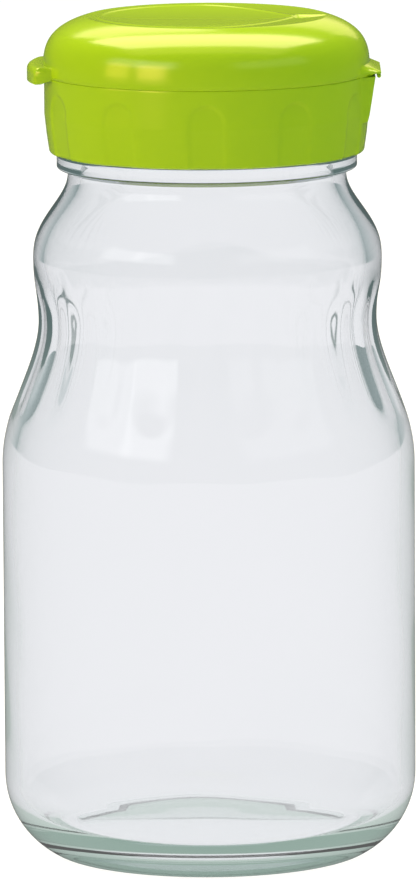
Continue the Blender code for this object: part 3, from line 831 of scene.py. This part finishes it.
@dataclass
class HingeWeb:
    """The thin bending web between the lid and the collar."""

    material: bpy.types.Material
    segments: int = 24
    end_round: float = 0.0002
    end_steps: int = 3

    def build(self) -> bpy.types.Object:
        """Makes the web as a slim round rod with soft ends.

        Returns:
            The finished piece.
        """
        low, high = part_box("hinge_web")
        bm = bmesh.new()
        radius = (high.z - low.z) / 2.0
        bmesh.ops.create_cone(
            bm,
            cap_ends=True,
            segments=self.segments,
            radius1=radius,
            radius2=radius,
            depth=high.y - low.y,
        )
        ends = [e for e in bm.edges if abs(e.verts[0].co.z - e.verts[1].co.z) < POLE_MERGE]
        bmesh.ops.bevel(
            bm,
            geom=ends,
            affect="EDGES",
            offset=self.end_round,
            segments=self.end_steps,
            profile=0.5,
            material=-1,
        )
        turn = Matrix.Rotation(math.pi / 2.0, 4, "X")
        bmesh.ops.transform(bm, matrix=turn, verts=bm.verts)
        bmesh.ops.translate(bm, verts=bm.verts, vec=(low + high) / 2.0)
        return mesh_piece("lid_hinge_web", bm)

    def dress(self) -> None:
        """Builds the web and seats it."""
        seat(self.build(), Body.COLLAR, self.material, "hinge_web")


@dataclass
class HingeLand:
    """The plan of a pointed land: a straight front and sides that run back to the round wall."""

    half_width: float = 0.010
    root_half_width: float = 0.0132
    root_depth: float = 0.0045
    least_across: float = 0.1

    def reach(self, angle: float, front: float) -> float:
        """The radius of the land's edge at an angle.

        Args:
            angle: The angle about the axis, 0 at the hinge.
            front: How far the land's front lies from the axis.

        Returns:
            The radius, or 0 on the far side.
        """
        across = math.cos(angle)
        if across <= self.least_across:
            return 0.0
        normal = Vector((self.root_half_width - self.half_width, self.root_depth))
        side = normal.dot(Vector((front, self.half_width)))
        slope = normal.dot(Vector((across, abs(math.sin(angle)))))
        return min(front / across, side / slope)


@dataclass
class ScrewCollar:
    """The screw collar: skirt with arches, hinge wedge, deck, snap ring, pour spout, thread, plug."""

    material: bpy.types.Material
    land: HingeLand = field(default_factory=HingeLand)
    segments: int = 480
    radius: float = 0.03855
    rim_radius: float = 0.0375
    belly_radius: float = 0.03805
    belly_rise: float = 0.0047
    straight_rise: float = 0.0094
    edge: float = 0.0009
    top_edge: float = 0.0001
    bore_radius: float = 0.0362
    deck_thickness: float = 0.0015
    snap_outer: float = 0.0367
    snap_width: float = 0.0014
    snap_height: float = 0.0018
    plug_outer: float = 0.0297
    plug_wall: float = 0.0011
    plug_depth: float = 0.002
    spout_bore: float = 0.009
    spout_wall: float = 0.0013
    spout_height: float = 0.006
    spout_flare: float = 0.0006
    spout_offset: float = 0.018
    spout_foot: float = 0.0008
    spout_flare_rounds: float = 3.0
    spout_steps: int = 4
    arch_count: int = 10
    arch_width: float = 0.0083
    arch_drop: float = 0.0036
    arch_depth: float = 0.00045
    arch_edge: float = 0.0006
    arch_first: float = 24.0
    arch_pitch: float = 33.0
    land_height: float = 0.011
    land_foot_setback: float = 0.0003
    thread_size: float = 0.0009
    thread_half_width: float = 0.0012
    thread_below: float = 0.0027
    wall_steps: int = 22
    belly_steps: int = 12
    rim_steps: int = 10
    bore_steps: int = 34

    def __post_init__(self) -> None:
        """Takes the heights from the frame and sets the thread under the glass one."""
        low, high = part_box("screw_collar")
        self.bottom = low.z
        self.deck_top = high.z - self.spout_height
        self.deck_bottom = self.deck_top - self.deck_thickness
        self.land_front = high.x
        glass_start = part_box("glass_bottle")[1].z - GlassBottle.thread_drop - Thread.lead * Thread.turns
        self.thread = Thread(glass_start - self.thread_below, half_width=self.thread_half_width)
        self.arches = []
        for i in range(self.arch_count):
            side = 1.0 if i % 2 == 0 else -1.0
            turn = self.arch_first + self.arch_pitch * (i // 2)
            self.arches.append(math.radians(180.0 + side * turn))

    def outer_profile(self) -> list[Point]:
        """The outside from the deck's edge down to the bottom of the skirt.

        Returns:
            The points in order.
        """
        belly = self.bottom + self.belly_rise
        straight = self.bottom + self.straight_rise
        top = self.deck_top - self.top_edge
        points = arc((self.radius - self.top_edge, top), self.top_edge, 90.0, 0.0, 4)
        points += run((self.radius, top), (self.radius, straight), self.wall_steps)[1:]
        points += run((self.radius, straight), (self.belly_radius, belly), self.belly_steps)
        rim = self.bottom + self.edge
        points += run((self.belly_radius, belly), (self.rim_radius, rim), self.rim_steps)
        centre = (self.rim_radius - self.edge, rim)
        return points + arc(centre, self.edge, 0.0, -90.0, 5)

    def profile(self) -> tuple[list[Point], int]:
        """The whole section but for the middle of the deck, and how many of its points are outside.

        Returns:
            The points from the deck's top round the skirt to the deck's underside, and the outer count.
        """
        snap_inner = self.snap_outer - self.snap_width
        snap_top = self.deck_top + self.snap_height
        round_top = self.snap_width / 3.0
        deck = [(self.plug_outer, self.deck_top), (snap_inner, self.deck_top)]
        deck += arc((snap_inner + round_top, snap_top - round_top), round_top, 180.0, 90.0, 3)
        deck += arc((self.snap_outer - round_top, snap_top - round_top), round_top, 90.0, 0.0, 3)
        deck += run((self.snap_outer, self.deck_top), (self.radius - self.top_edge, self.deck_top), 4)
        outer = deck + self.outer_profile()
        bore_bottom = self.bottom + self.top_edge
        inner = [(self.bore_radius + self.top_edge, self.bottom)]
        bore_top = (self.bore_radius, self.deck_bottom)
        inner += run((self.bore_radius, bore_bottom), bore_top, self.bore_steps) + [bore_top]
        plug_inner = self.plug_outer - self.plug_wall
        plug_bottom = self.deck_bottom - self.plug_depth
        inner += [(self.plug_outer, self.deck_bottom), (self.plug_outer, plug_bottom + self.top_edge)]
        inner += [(self.plug_outer - self.top_edge, plug_bottom), (plug_inner, plug_bottom)]
        inner += [(plug_inner, self.deck_bottom)]
        return outer + inner, len(outer)

    def spout_profile(self) -> list[Point]:
        """The spout's section from the deck's top over its flared lip and down its bore.

        Returns:
            The points in order.
        """
        outer = self.spout_bore + self.spout_wall
        top = self.deck_top + self.spout_height
        lip = self.spout_wall / 2.0 + self.spout_flare / 2.0
        foot = self.spout_foot
        steps = self.spout_steps
        points = arc((outer + foot, self.deck_top + foot), foot, 270.0, 180.0, steps)
        flare_foot = (outer, top - self.spout_flare_rounds * lip)
        points += run((outer, self.deck_top + foot), flare_foot, steps)[1:]
        points += curve(flare_foot, (outer + self.spout_flare, top - lip), steps)[:-1]
        points += arc((outer + self.spout_flare - lip, top - lip), lip, 0.0, 90.0, 5)
        points += arc((self.spout_bore + lip, top - lip), lip, 90.0, 180.0, 4)
        points += run((self.spout_bore, top - lip), (self.spout_bore, self.deck_bottom), 6)[1:]
        return points + [(self.spout_bore, self.deck_bottom)]

    def arch_inset(self, angle: float, height: float, radius: float) -> float:
        """How far the skirt lies back in an arch at a place.

        Args:
            angle: The angle about the axis.
            height: The height of the place.
            radius: The plain skirt's radius there.

        Returns:
            The depth there.
        """
        half = self.arch_width / 2.0
        top = self.deck_top - self.arch_drop
        for middle in self.arches:
            turn = (angle - middle + math.pi) % math.tau - math.pi
            across = abs(self.radius * turn)
            if across > half + self.arch_edge:
                continue
            over = max(0.0, height - (top - half))
            inside = half - math.hypot(across, over)
            floor = (radius - self.arch_depth) / math.cos(turn)
            return (radius - floor) * smooth_step(0.5 + inside / self.arch_edge)
        return 0.0

    def build(self) -> bpy.types.Object:
        """Turns the collar, presses its arches, draws out its wedge and sets the spout in its deck.

        Returns:
            The finished piece.
        """
        profile, outer_count = self.profile()
        lathe = Lathe(self.segments)
        lathe.turn(profile)
        foot = self.deck_top - self.land_height
        foot_front = self.radius - self.land_foot_setback

        def mover(ring: int, angle: float, radius: float, height: float) -> Point:
            """Places one vertex of the collar.

            Args:
                ring: The vertex's place in the profile.
                angle: Its angle about the axis.
                radius: Its radius as turned.
                height: Its height as turned.

            Returns:
                Its new radius and height.
            """
            if ring >= outer_count:
                if radius < self.bore_radius - POLE_MERGE or height > self.deck_bottom - self.top_edge:
                    return radius, height
                return radius - self.thread.height_at(angle, height, self.thread_size), height
            if radius < self.radius - 2.0 * self.top_edge and height > self.deck_top - POLE_MERGE:
                return radius, height
            share = (height - foot) / (self.deck_top - foot)
            inset = self.arch_inset(angle, height, radius)
            if share <= 0.0:
                return radius - inset, height
            reach = self.land.reach(angle, mixed(foot_front, self.land_front, share))
            drawn = reach - (self.radius - radius)
            return max(radius - inset, drawn), height

        lathe.move(mover)
        lathe.turn(self.spout_profile(), shift=-self.spout_offset)
        lathe.close()
        return lathe.piece("cap_collar")

    def dress(self) -> None:
        """Builds the collar and seats it."""
        seat(self.build(), Body.COLLAR, self.material, "screw_collar")


@dataclass(frozen=True)
class EdgeRing:
    """One ring of the lid's lower edge, with where it goes on the tab and on the hinge land.

    A reach is the share of the way from the round wall to the front of the tab or the land.
    """

    radius: float
    height: float
    tab_reach: float
    tab_height: float
    land_reach: float
    land_height: float


@dataclass
class FlipLid:
    """The flip lid: dome, pointed dish with its raised line, arrow, thumb tab, hinge land, plug."""

    material: bpy.types.Material
    land: HingeLand = field(default_factory=HingeLand)
    segments: int = 480
    radius: float = 0.0388
    seam: float = 0.00004
    foot_draw: float = 0.0002
    fullness: float = 3.35
    crest_radius: float = 0.0284
    crown_fall: float = 0.0011
    crown_power: float = 0.75
    crown_steps: int = 78
    crown_spread: float = 0.8
    dome_steps: int = 40
    wall: float = 0.0016
    edge: float = 0.0001
    edge_rise: float = 0.0007
    underside_insets: tuple[float, ...] = (0.0004, 0.0005, 0.0006, 0.0009)
    cavity_steps: int = 24
    dish_radius: float = 0.0240
    dish_point: float = 0.0195
    dish_side_angle: float = math.radians(97.0)
    dish_side_reach: float = 0.011
    dish_depth: float = 0.0013
    dish_power: float = 2.4
    dish_steps: int = 60
    line_height: float = 0.0002
    line_width: float = 0.0026
    arrow_margin: float = 0.0007
    arrow_head: float = 0.0016
    arrow_length: float = 0.0102
    arrow_width: float = 0.0084
    arrow_depth: float = 0.0008
    arrow_wall: float = 0.0010
    arrow_foot: float = 0.2
    tab_reach: float = 0.0038
    tab_half_angle: float = math.radians(18.5)
    tab_end: float = math.radians(1.6)
    tab_thickness: float = 0.0028
    tab_round: float = 0.0013
    tab_lip_width: float = 0.0012
    tab_lip_drop: float = 0.0012
    tab_bends: int = 5
    tab_bend_drop: float = 0.00035
    tab_side_rise: float = 0.0009
    tab_lip_round: tuple[float, float] = (0.97, 0.92)
    tab_root: float = 0.15
    tab_gap: float = 0.0003
    land_root_height: float = 0.0028
    land_edge_height: float = 0.0012
    land_root: float = 0.3
    groove_front: float = 0.0003
    groove_back: float = 0.0004
    hinge_clearance: float = 0.0008
    plug_outer: float = 0.0086
    plug_wall: float = 0.0012
    plug_depth: float = 0.002
    plug_offset: float = ScrewCollar.spout_offset

    def __post_init__(self) -> None:
        """Takes the lid's heights from the frame."""
        self.spout_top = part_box("screw_collar")[1].z
        self.bottom = self.spout_top - ScrewCollar.spout_height + self.seam
        self.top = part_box("flip_lid")[1].z
        drawn = full_round(self.crest_radius / self.radius, self.fullness)
        self.dome_rise = (self.top - self.bottom) / drawn
        self.ceiling = self.top - self.dish_depth - self.wall
        self.land_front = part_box("flip_lid")[1].x
        web_low, web_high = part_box("hinge_web")
        self.hinge_x = (web_low.x + web_high.x) / 2.0
        self.hinge_z = (web_low.z + web_high.z) / 2.0
        self.rounds = self.dish_table()

    def dome(self, inset: float, steps: int) -> list[Point]:
        """The dome's section from the crest down to its foot.

        Args:
            inset: How far it is moved in, for the inside.
            steps: How many steps it is cut into.

        Returns:
            The points in order.
        """
        start = math.acos((self.crest_radius / self.radius) ** (self.fullness / 2.0))
        power = 2.0 / self.fullness
        points = []
        for i in range(steps + 1):
            angle = start * (1.0 - i / steps)
            across = (self.radius - inset) * math.cos(angle) ** power
            points.append((across, self.bottom + (self.dome_rise - inset) * math.sin(angle) ** power))
        return points

    def dish_table(self) -> tuple[list[float], list[float]]:
        """Works out the dish's drawn-out side.

        Returns:
            The angles and the radii of its outline, from the point to the round.
        """
        side = self.dish_side_angle
        start = Vector((math.cos(side), math.sin(side))) * self.dish_radius
        lead = Vector((math.sin(side), -math.cos(side)))
        guide = start + lead * self.dish_side_reach
        point = Vector((self.dish_point, 0.0))
        places = []
        for i in range(self.dish_steps + 1):
            share = i / self.dish_steps
            far = 1.0 - share
            places.append(point * far**2 + guide * 2.0 * share * far + start * share**2)
        return [math.atan2(p.y, p.x) for p in places], [p.length for p in places]

    def dish_reach(self, angle: float) -> float:
        """The radius of the dish's outline at an angle.

        Args:
            angle: The angle about the axis.

        Returns:
            The radius there.
        """
        angles, radii = self.rounds
        turn = abs(angle)
        if turn >= self.dish_side_angle:
            return self.dish_radius
        after = max(1, bisect_left(angles, turn))
        share = (turn - angles[after - 1]) / (angles[after] - angles[after - 1])
        return mixed(radii[after - 1], radii[after], share)

    def arrow_press(self, x: float, y: float) -> float:
        """How much of the arrow's depth is pressed in at a place of the crown.

        Args:
            x: How far the place lies towards the hinge.
            y: How far it lies to the side.

        Returns:
            The share, from 0 to 1.
        """
        start = self.dish_point + self.arrow_margin
        widest = start + self.arrow_head
        half = self.arrow_width / 2.0
        tail = Vector((half, self.arrow_head)).normalized()
        nose = Vector((half, self.arrow_length - self.arrow_head)).normalized()
        side = half - abs(y)
        inside = min(
            (x - start) * tail.x - (half - side) * tail.y if x < widest else half,
            (start + self.arrow_length - x) * nose.x - (half - side) * nose.y,
        )
        return smooth_step(inside / self.arrow_wall + self.arrow_foot)

    def land_height(self, radius: float) -> float:
        """The height of the crown's level land at a radius, inside the crest."""
        return self.top - self.crown_fall * (1.0 - radius / self.crest_radius) ** self.crown_power

    def crown_height(self, angle: float, radius: float) -> float:
        """The height of the crown inside the crest.

        Args:
            angle: The angle about the axis.
            radius: The radius, up to the crest's.

        Returns:
            The height there.
        """
        edge = self.dish_reach(angle)
        land = self.land_height(radius)
        edge_height = self.land_height(edge)
        share = min(1.0, radius / edge)
        floor = self.top - self.dish_depth
        dished = mixed(floor, edge_height, share**self.dish_power)
        height = dished if radius < edge else land
        off = (radius - edge) / self.line_width
        if 0.0 < off < 1.0:
            height += self.line_height * math.sin(math.pi * off) ** 2
        x, y = radius * math.cos(angle), radius * math.sin(angle)
        pressed = self.arrow_press(x, y)
        arrow_floor = self.top - self.arrow_depth
        return mixed(height, min(height, arrow_floor), pressed)

    def edge_rings(self) -> list[EdgeRing]:
        """The rings from the tab's root down to the inner corner of the lid's lower edge.

        Returns:
            The rings in order.
        """
        top = self.bottom + self.tab_thickness
        full = self.tab_reach
        lip = self.bottom - self.tab_lip_drop
        land_top = self.bottom + self.land_root_height
        land_edge = self.bottom + self.land_edge_height
        rings = [EdgeRing(self.wall_radius(top), top, 0.0, top, 0.0, land_top)]
        for i in range(self.tab_bends):
            bend = math.radians(90.0 * (1.0 - i / (self.tab_bends - 1)))
            reach = 1.0 - self.tab_round / full * (1.0 - math.cos(bend))
            tab_height = top - self.tab_round * (1.0 - math.sin(bend))
            height = top - self.edge - self.tab_bend_drop * i
            share = (i + 1) / (self.tab_bends + 1)
            land = mixed(land_top, land_edge, share)
            rings.append(EdgeRing(self.wall_radius(height), height, reach, tab_height, share, land))
        skirt = self.radius - self.foot_draw
        below = self.bottom
        gap = below + self.tab_gap
        side = below + self.tab_side_rise
        half = self.edge / 2.0
        outer, inner = self.tab_lip_round
        lip_end = 1.0 - self.tab_lip_width / full
        insets = self.underside_insets
        hinge = self.hinge_x
        groove_end = self.land_share(hinge - self.hinge_clearance)
        return rings + [
            EdgeRing(self.radius, below + self.edge_rise, 1.0, side, 1.0, land_edge),
            self.grooved(skirt, below + self.edge, 1.0, lip + self.edge, self.land_front),
            self.grooved(skirt - half, below + half, outer, lip + self.edge, hinge + self.groove_front),
            self.grooved(skirt - self.edge, below, inner, lip, hinge),
            self.grooved(skirt - insets[0], below, lip_end, lip, hinge - self.groove_back),
            EdgeRing(skirt - insets[1], below, lip_end, gap, groove_end, below),
            EdgeRing(skirt - insets[2], below, self.tab_root, gap, self.land_root, below),
            EdgeRing(skirt - insets[3], below, 0.0, below, 0.0, below),
        ]

    def grooved(
        self, radius: float, height: float, tab_reach: float, tab_height: float, place: float
    ) -> EdgeRing:
        """A ring that follows the groove for the web where it crosses the land.

        Args:
            radius: The ring's plain radius.
            height: Its plain height.
            tab_reach: Its share of the way out on the tab.
            tab_height: Its height on the tab.
            place: How far from the axis it crosses the land.

        Returns:
            The ring.
        """
        rise = math.sqrt(max(0.0, self.hinge_clearance**2 - (place - self.hinge_x) ** 2))
        return EdgeRing(
            radius, height, tab_reach, tab_height, self.land_share(place), self.hinge_z + rise
        )

    def wall_radius(self, height: float) -> float:
        """The radius of the plain outside at a height on the skirt or low on the dome."""
        rise = max(0.0, (height - self.bottom) / self.dome_rise)
        return self.radius * full_round(rise, self.fullness)

    def land_share(self, reach: float) -> float:
        """The share of the way from the round wall to the land's front that a reach has."""
        return (reach - self.radius) / (self.land_front - self.radius)

    def profile(self) -> tuple[list[Point], dict[int, EdgeRing], int]:
        """The whole section but for the ceiling's middle.

        Returns:
            The points from the crown's middle round the edge to the ceiling, the rings of the lower
            edge by index, and the index of the last ring of the crown.
        """
        shares = [(i / self.crown_steps) ** self.crown_spread for i in range(self.crown_steps)]
        points = [(self.crest_radius * share, self.top) for share in shares]
        last_crown = len(points) - 1
        rings = self.edge_rings()
        points += [p for p in self.dome(0.0, self.dome_steps) if p[1] > rings[0].height + self.edge]
        edge = {}
        for ring in rings:
            edge[len(points)] = ring
            points.append((ring.radius, ring.height))
        inside = self.radius - self.wall
        points += [(inside + self.edge, self.bottom), (inside, self.bottom + self.edge)]
        cavity = [p for p in self.dome(self.wall, self.cavity_steps) if p[1] < self.ceiling - self.edge]
        points += reversed(cavity)
        reach = (self.ceiling - self.bottom) / (self.dome_rise - self.wall)
        across = (self.radius - self.wall) * full_round(reach, self.fullness)
        points += [(across, self.ceiling), (self.crest_radius, self.ceiling)]
        return points, edge, last_crown

    def plug_profile(self) -> list[Point]:
        """The plug ring's section from the ceiling round its lower edge to the ceiling's middle.

        Returns:
            The points in order.
        """
        bottom = self.spout_top - self.plug_depth
        inner = self.plug_outer - self.plug_wall
        half = self.plug_wall / 2.0
        points = [(self.plug_outer, self.ceiling), (self.plug_outer, bottom + half)]
        points += arc((self.plug_outer - half, bottom + half), half, 0.0, -180.0, 8)[1:]
        return points + [(inner, self.ceiling), (0.0, self.ceiling)]

    def build(self) -> bpy.types.Object:
        """Turns the lid, shapes its crown, draws out its tab and land and hangs its plug ring.

        Returns:
            The finished piece.
        """
        profile, edge, last_crown = self.profile()
        lathe = Lathe(self.segments)
        lathe.turn(profile)

        def mover(ring: int, angle: float, radius: float, height: float) -> Point:
            """Places one vertex of the lid.

            Args:
                ring: The vertex's place in the profile.
                angle: Its angle about the axis.
                radius: Its radius as turned.
                height: Its height as turned.

            Returns:
                Its new radius and height.
            """
            if ring <= last_crown:
                return radius, self.crown_height(angle, radius)
            if ring not in edge:
                return radius, height
            place = edge[ring]
            from_tab = abs(math.pi - abs(angle))
            on_tab = smooth_step((self.tab_half_angle - from_tab) / self.tab_end + 0.5)
            if on_tab > 0.0:
                reach = self.radius + self.tab_reach - radius
                return radius + reach * place.tab_reach * on_tab, mixed(height, place.tab_height, on_tab)
            stand = self.land.reach(angle, self.land_front) - self.radius
            if stand <= 0.0:
                return radius, height
            on_land = smooth_step(stand / (2.0 * self.edge))
            reach = self.radius + stand - radius
            return radius + reach * place.land_reach, mixed(height, place.land_height, on_land)

        lathe.move(mover)
        lathe.turn(self.plug_profile(), shift=-self.plug_offset)
        lathe.close()
        return lathe.piece("cap_lid")

    def dress(self) -> None:
        """Builds the lid and seats it."""
        seat(self.build(), Body.LID, self.material, "flip_lid")


@dataclass(frozen=True)
class Bearing:
    """A direction from the bottle: degrees to the right of the camera and above the horizon."""

    round: float
    above: float

    def direction(self) -> Vector:
        """The direction as a vector of length 1."""
        turn, rise = math.radians(self.round), math.radians(self.above)
        level = math.cos(rise)
        return Vector((math.sin(turn) * level, -math.cos(turn) * level, math.sin(rise)))


@dataclass(frozen=True)
class Softbox:
    """One area lamp aimed at the bottle."""

    name: str
    bearing: Bearing
    distance: float
    width: float
    height: float
    radiance: float
    colour: Triple

    def light(self, target: Vector, lit: bpy.types.Collection) -> None:
        """Hangs the lamp. Reflections show it, but the camera and rays through glass don't.

        Args:
            target: The point that it is aimed at.
            lit: The collection that says which pieces it lights and which it leaves out.
        """
        lamp = bpy.data.lights.new(self.name, "AREA")
        lamp.shape = "RECTANGLE"
        lamp.size = self.width
        lamp.size_y = self.height
        lamp.energy = self.radiance * math.pi * self.width * self.height
        lamp.color = self.colour
        obj = bpy.data.objects.new(self.name, lamp)
        bpy.context.scene.collection.objects.link(obj)
        back = self.bearing.direction()
        obj.location = target + back * self.distance
        obj.rotation_euler = (-back).to_track_quat("-Z", "Y").to_euler()
        obj.visible_camera = False
        obj.visible_transmission = False
        obj.light_linking.receiver_collection = lit


@dataclass
class Studio:
    """The pale floor, the soft light and the camera."""

    floor_reach: float = 4.0
    floor_colour: Triple = (0.75, 0.75, 0.75)
    floor_seen_colour: Triple = (0.2, 0.2, 0.2)
    floor_glow: float = 0.90
    camera_distance: float = 2.234
    camera_height: float = 0.442
    aim: Triple = (0.00024, 0.0, 0.0992)
    lens: float = 387.8
    sensor: float = 36.0
    farthest: float = 50.0
    roll: float = math.radians(0.33)
    through_light: float = 0.925
    through_colour: Triple = (1.003, 1.0, 1.042)
    side_light: float = 0.32
    side_colour: Triple = (0.80, 1.0, 1.02)
    backdrop_sides: tuple[float, float] = (0.76, 0.28)
    backdrop_depths: tuple[float, float] = (-0.35, 0.15)
    mirror_sky: float = 0.07
    mirror_floor: float = 0.12
    panel_light: float = 1.6
    panel_spans: tuple[Triple, ...] = ((28.0, 47.0, 1.0), (52.0, 72.0, 0.8), (-74.0, -26.0, 0.3))
    panel_heights: tuple[float, float] = (17.0, 29.0)
    panel_blur: float = 9.0
    panel_rise: float = 5.0
    fill_light: float = 0.58
    fill_colour: Triple = (0.64, 1.05, 1.05)
    lamp_target: Triple = (0.0, 0.0, 0.17)

    def floor(self) -> None:
        """Lays the floor, which shows as white and keeps the bottle's soft shadow."""
        bm = bmesh.new()
        bmesh.ops.create_grid(bm, x_segments=4, y_segments=4, size=self.floor_reach)
        floor = mesh_piece("studio_floor", bm)
        material = bpy.data.materials.new("pale_floor")
        shader = Shader(material)
        rays = shader.add("LightPath").outputs
        straight, way = rays["Is Camera Ray"], rays["Is Transmission Ray"]
        mirror = self.mirror_rays(shader, rays)
        strength = shader.sums("MULTIPLY", straight, self.floor_glow)
        strength = shader.sums("MULTIPLY_ADD", way, self.through_light, strength)
        strength = shader.sums("MULTIPLY_ADD", mirror, self.mirror_floor, strength)
        tint = shader.blend(WHITE, self.through_colour, way)
        glow = shader.add("Emission", {"Color": tint, "Strength": strength})
        shaded = shader.add("BsdfDiffuse", {"Color": self.floor_seen_colour})
        seen = shader.add("AddShader", {0: glow.outputs[0], 1: shaded.outputs[0]})
        matt = shader.add("BsdfDiffuse", {"Color": self.floor_colour})
        sight = shader.sums("MAXIMUM", straight, shader.sums("MAXIMUM", way, mirror))
        shader.show(shader.either(matt, shader.either(glow, seen, straight), sight))
        floor.data.materials.append(material)

    def mirror_rays(self, shader: Shader, rays: bpy.types.NodeOutputs) -> Socket:
        """A value of 1 for reflected rays alone, of the Light Path's outputs."""
        mirror = shader.sums("SUBTRACT", rays["Is Glossy Ray"], rays["Is Transmission Ray"])
        return shader.sums("MAXIMUM", mirror, 0.0)

    def world(self) -> None:
        """Sets the surroundings: a bright backdrop behind the bottle and a dim room round it."""
        world = bpy.data.worlds.new("studio")
        bpy.context.scene.world = world
        shader = Shader(world)
        axes = shader.axes("Generated")
        rays = shader.add("LightPath").outputs
        straight, way = rays["Is Camera Ray"], rays["Is Transmission Ray"]
        near_middle = shader.step(shader.sums("ABSOLUTE", axes["X"]), *self.backdrop_sides)
        behind = shader.step(axes["Y"], *self.backdrop_depths)
        backdrop = shader.sums("MULTIPLY", near_middle, behind)
        spread = self.through_light - self.side_light
        through = shader.sums("MULTIPLY_ADD", backdrop, spread, self.side_light)
        mirror = self.mirror_rays(shader, rays)
        panels = self.panels(shader, axes)
        mirrored = shader.sums("MULTIPLY_ADD", panels, self.panel_light, self.mirror_sky)
        strength = shader.sums("MULTIPLY_ADD", way, through, straight)
        strength = shader.sums("MULTIPLY_ADD", mirror, mirrored, strength)
        sides = shader.blend(self.side_colour, self.through_colour, backdrop)
        tint = shader.blend(WHITE, sides, way)
        seen_sky = shader.add("Background", {"Color": tint, "Strength": strength})
        fill_sky = shader.add("Background", {"Color": self.fill_colour, "Strength": self.fill_light})
        sight = shader.sums("MAXIMUM", straight, rays["Is Glossy Ray"])
        unseen = shader.sums("SUBTRACT", 1.0, shader.sums("MAXIMUM", sight, way))
        shader.show(shader.either(seen_sky, fill_sky, unseen), "OutputWorld")

    def panels(self, shader: Shader, axes: bpy.types.NodeOutputs) -> Socket:
        """The soft-edged window panels on both sides of the camera, as mirrors see them.

        Args:
            shader: The world's nodes.
            axes: The X, Y and Z of a ray's direction.

        Returns:
            How bright the panels are there, from 0 to 1.
        """
        ahead = shader.sums("MULTIPLY", axes["Y"], -1.0)
        aside = shader.sums("MULTIPLY", axes["X"], -1.0)
        turn = shader.sums("ARCTAN2", aside, ahead)
        seen = None
        for start, end, light in self.panel_spans:
            rise = shader.step(turn, math.radians(start - self.panel_blur), math.radians(start))
            fall = shader.step(turn, math.radians(end + self.panel_blur), math.radians(end))
            span = shader.sums("MULTIPLY", shader.sums("MULTIPLY", rise, fall), light)
            seen = span if seen is None else shader.sums("ADD", seen, span)
        low, high = (math.sin(math.radians(v)) for v in self.panel_heights)
        blur = math.radians(self.panel_rise)
        foot = shader.step(axes["Z"], low - blur, low)
        head = shader.step(axes["Z"], high + blur, high)
        return shader.sums("MULTIPLY", seen, shader.sums("MULTIPLY", foot, head))

    def lamps(self, glass: bpy.types.Object) -> None:
        """Hangs the softboxes overhead and behind and the two panels at the left of the camera.

        Args:
            glass: The glass piece, which mirrors the room's own soft panels in place of the lamps.
        """
        boxes = (
            Softbox("overhead_box", Bearing(180.0, 71.0), 1.45, 2.1, 0.98, 6.0, (1.0, 0.76, 0.46)),
            Softbox("overhead_front", Bearing(0.0, 78.0), 1.45, 2.6, 0.7, 1.1, (1.0, 0.74, 0.3)),
            Softbox("back_left", Bearing(-163.0, 38.0), 1.45, 0.7, 0.45, 2.6, (1.0, 0.76, 0.42)),
            Softbox("back_right", Bearing(164.0, 22.0), 1.45, 0.6, 0.5, 1.35, (1.0, 0.76, 0.36)),
            Softbox("panel_near", Bearing(-39.0, 9.0), 1.4, 0.50, 0.56, 6.0, (1.0, 0.60, 0.16)),
            Softbox("panel_far", Bearing(-65.0, 9.0), 1.4, 0.44, 0.56, 4.2, (1.0, 0.62, 0.12)),
        )
        past_glass = bpy.data.collections.new("lamps_leave_out")
        past_glass.objects.link(glass)
        past_glass.collection_objects[0].light_linking.link_state = "EXCLUDE"
        for box in boxes:
            box.light(Vector(self.lamp_target), past_glass)

    def camera(self) -> None:
        """Sets the camera where the photograph was taken from."""
        data = bpy.data.cameras.new("camera")
        data.lens = self.lens
        data.sensor_width = self.sensor
        data.clip_end = self.farthest
        camera = bpy.data.objects.new("camera", data)
        bpy.context.scene.collection.objects.link(camera)
        place = Vector((0.0, -self.camera_distance, self.camera_height))
        look = (Vector(self.aim) - place).to_track_quat("-Z", "Y").to_matrix().to_4x4()
        camera.matrix_world = Matrix.Translation(place) @ look @ Matrix.Rotation(-self.roll, 4, "Z")
        bpy.context.scene.camera = camera

    def build(self) -> None:
        """Sets up the camera, the floor, the surroundings and plain colour handling."""
        self.camera()
        self.floor()
        self.world()
        bpy.context.scene.view_settings.view_transform = "Standard"
        LOG.info("studio: camera, floor and surroundings")


def main() -> None:
    """Builds the studio and the bottle."""
    studio = Studio()
    studio.build()
    lime = LimePlastic().material()
    studio.lamps(GlassBottle(ClearGlass()).dress())
    SealingRing(SoftSeal()).dress()
    ScrewCollar(lime).dress()
    HingeWeb(lime).dress()
    FlipLid(lime).dress()


if __name__ == "__main__":
    main()
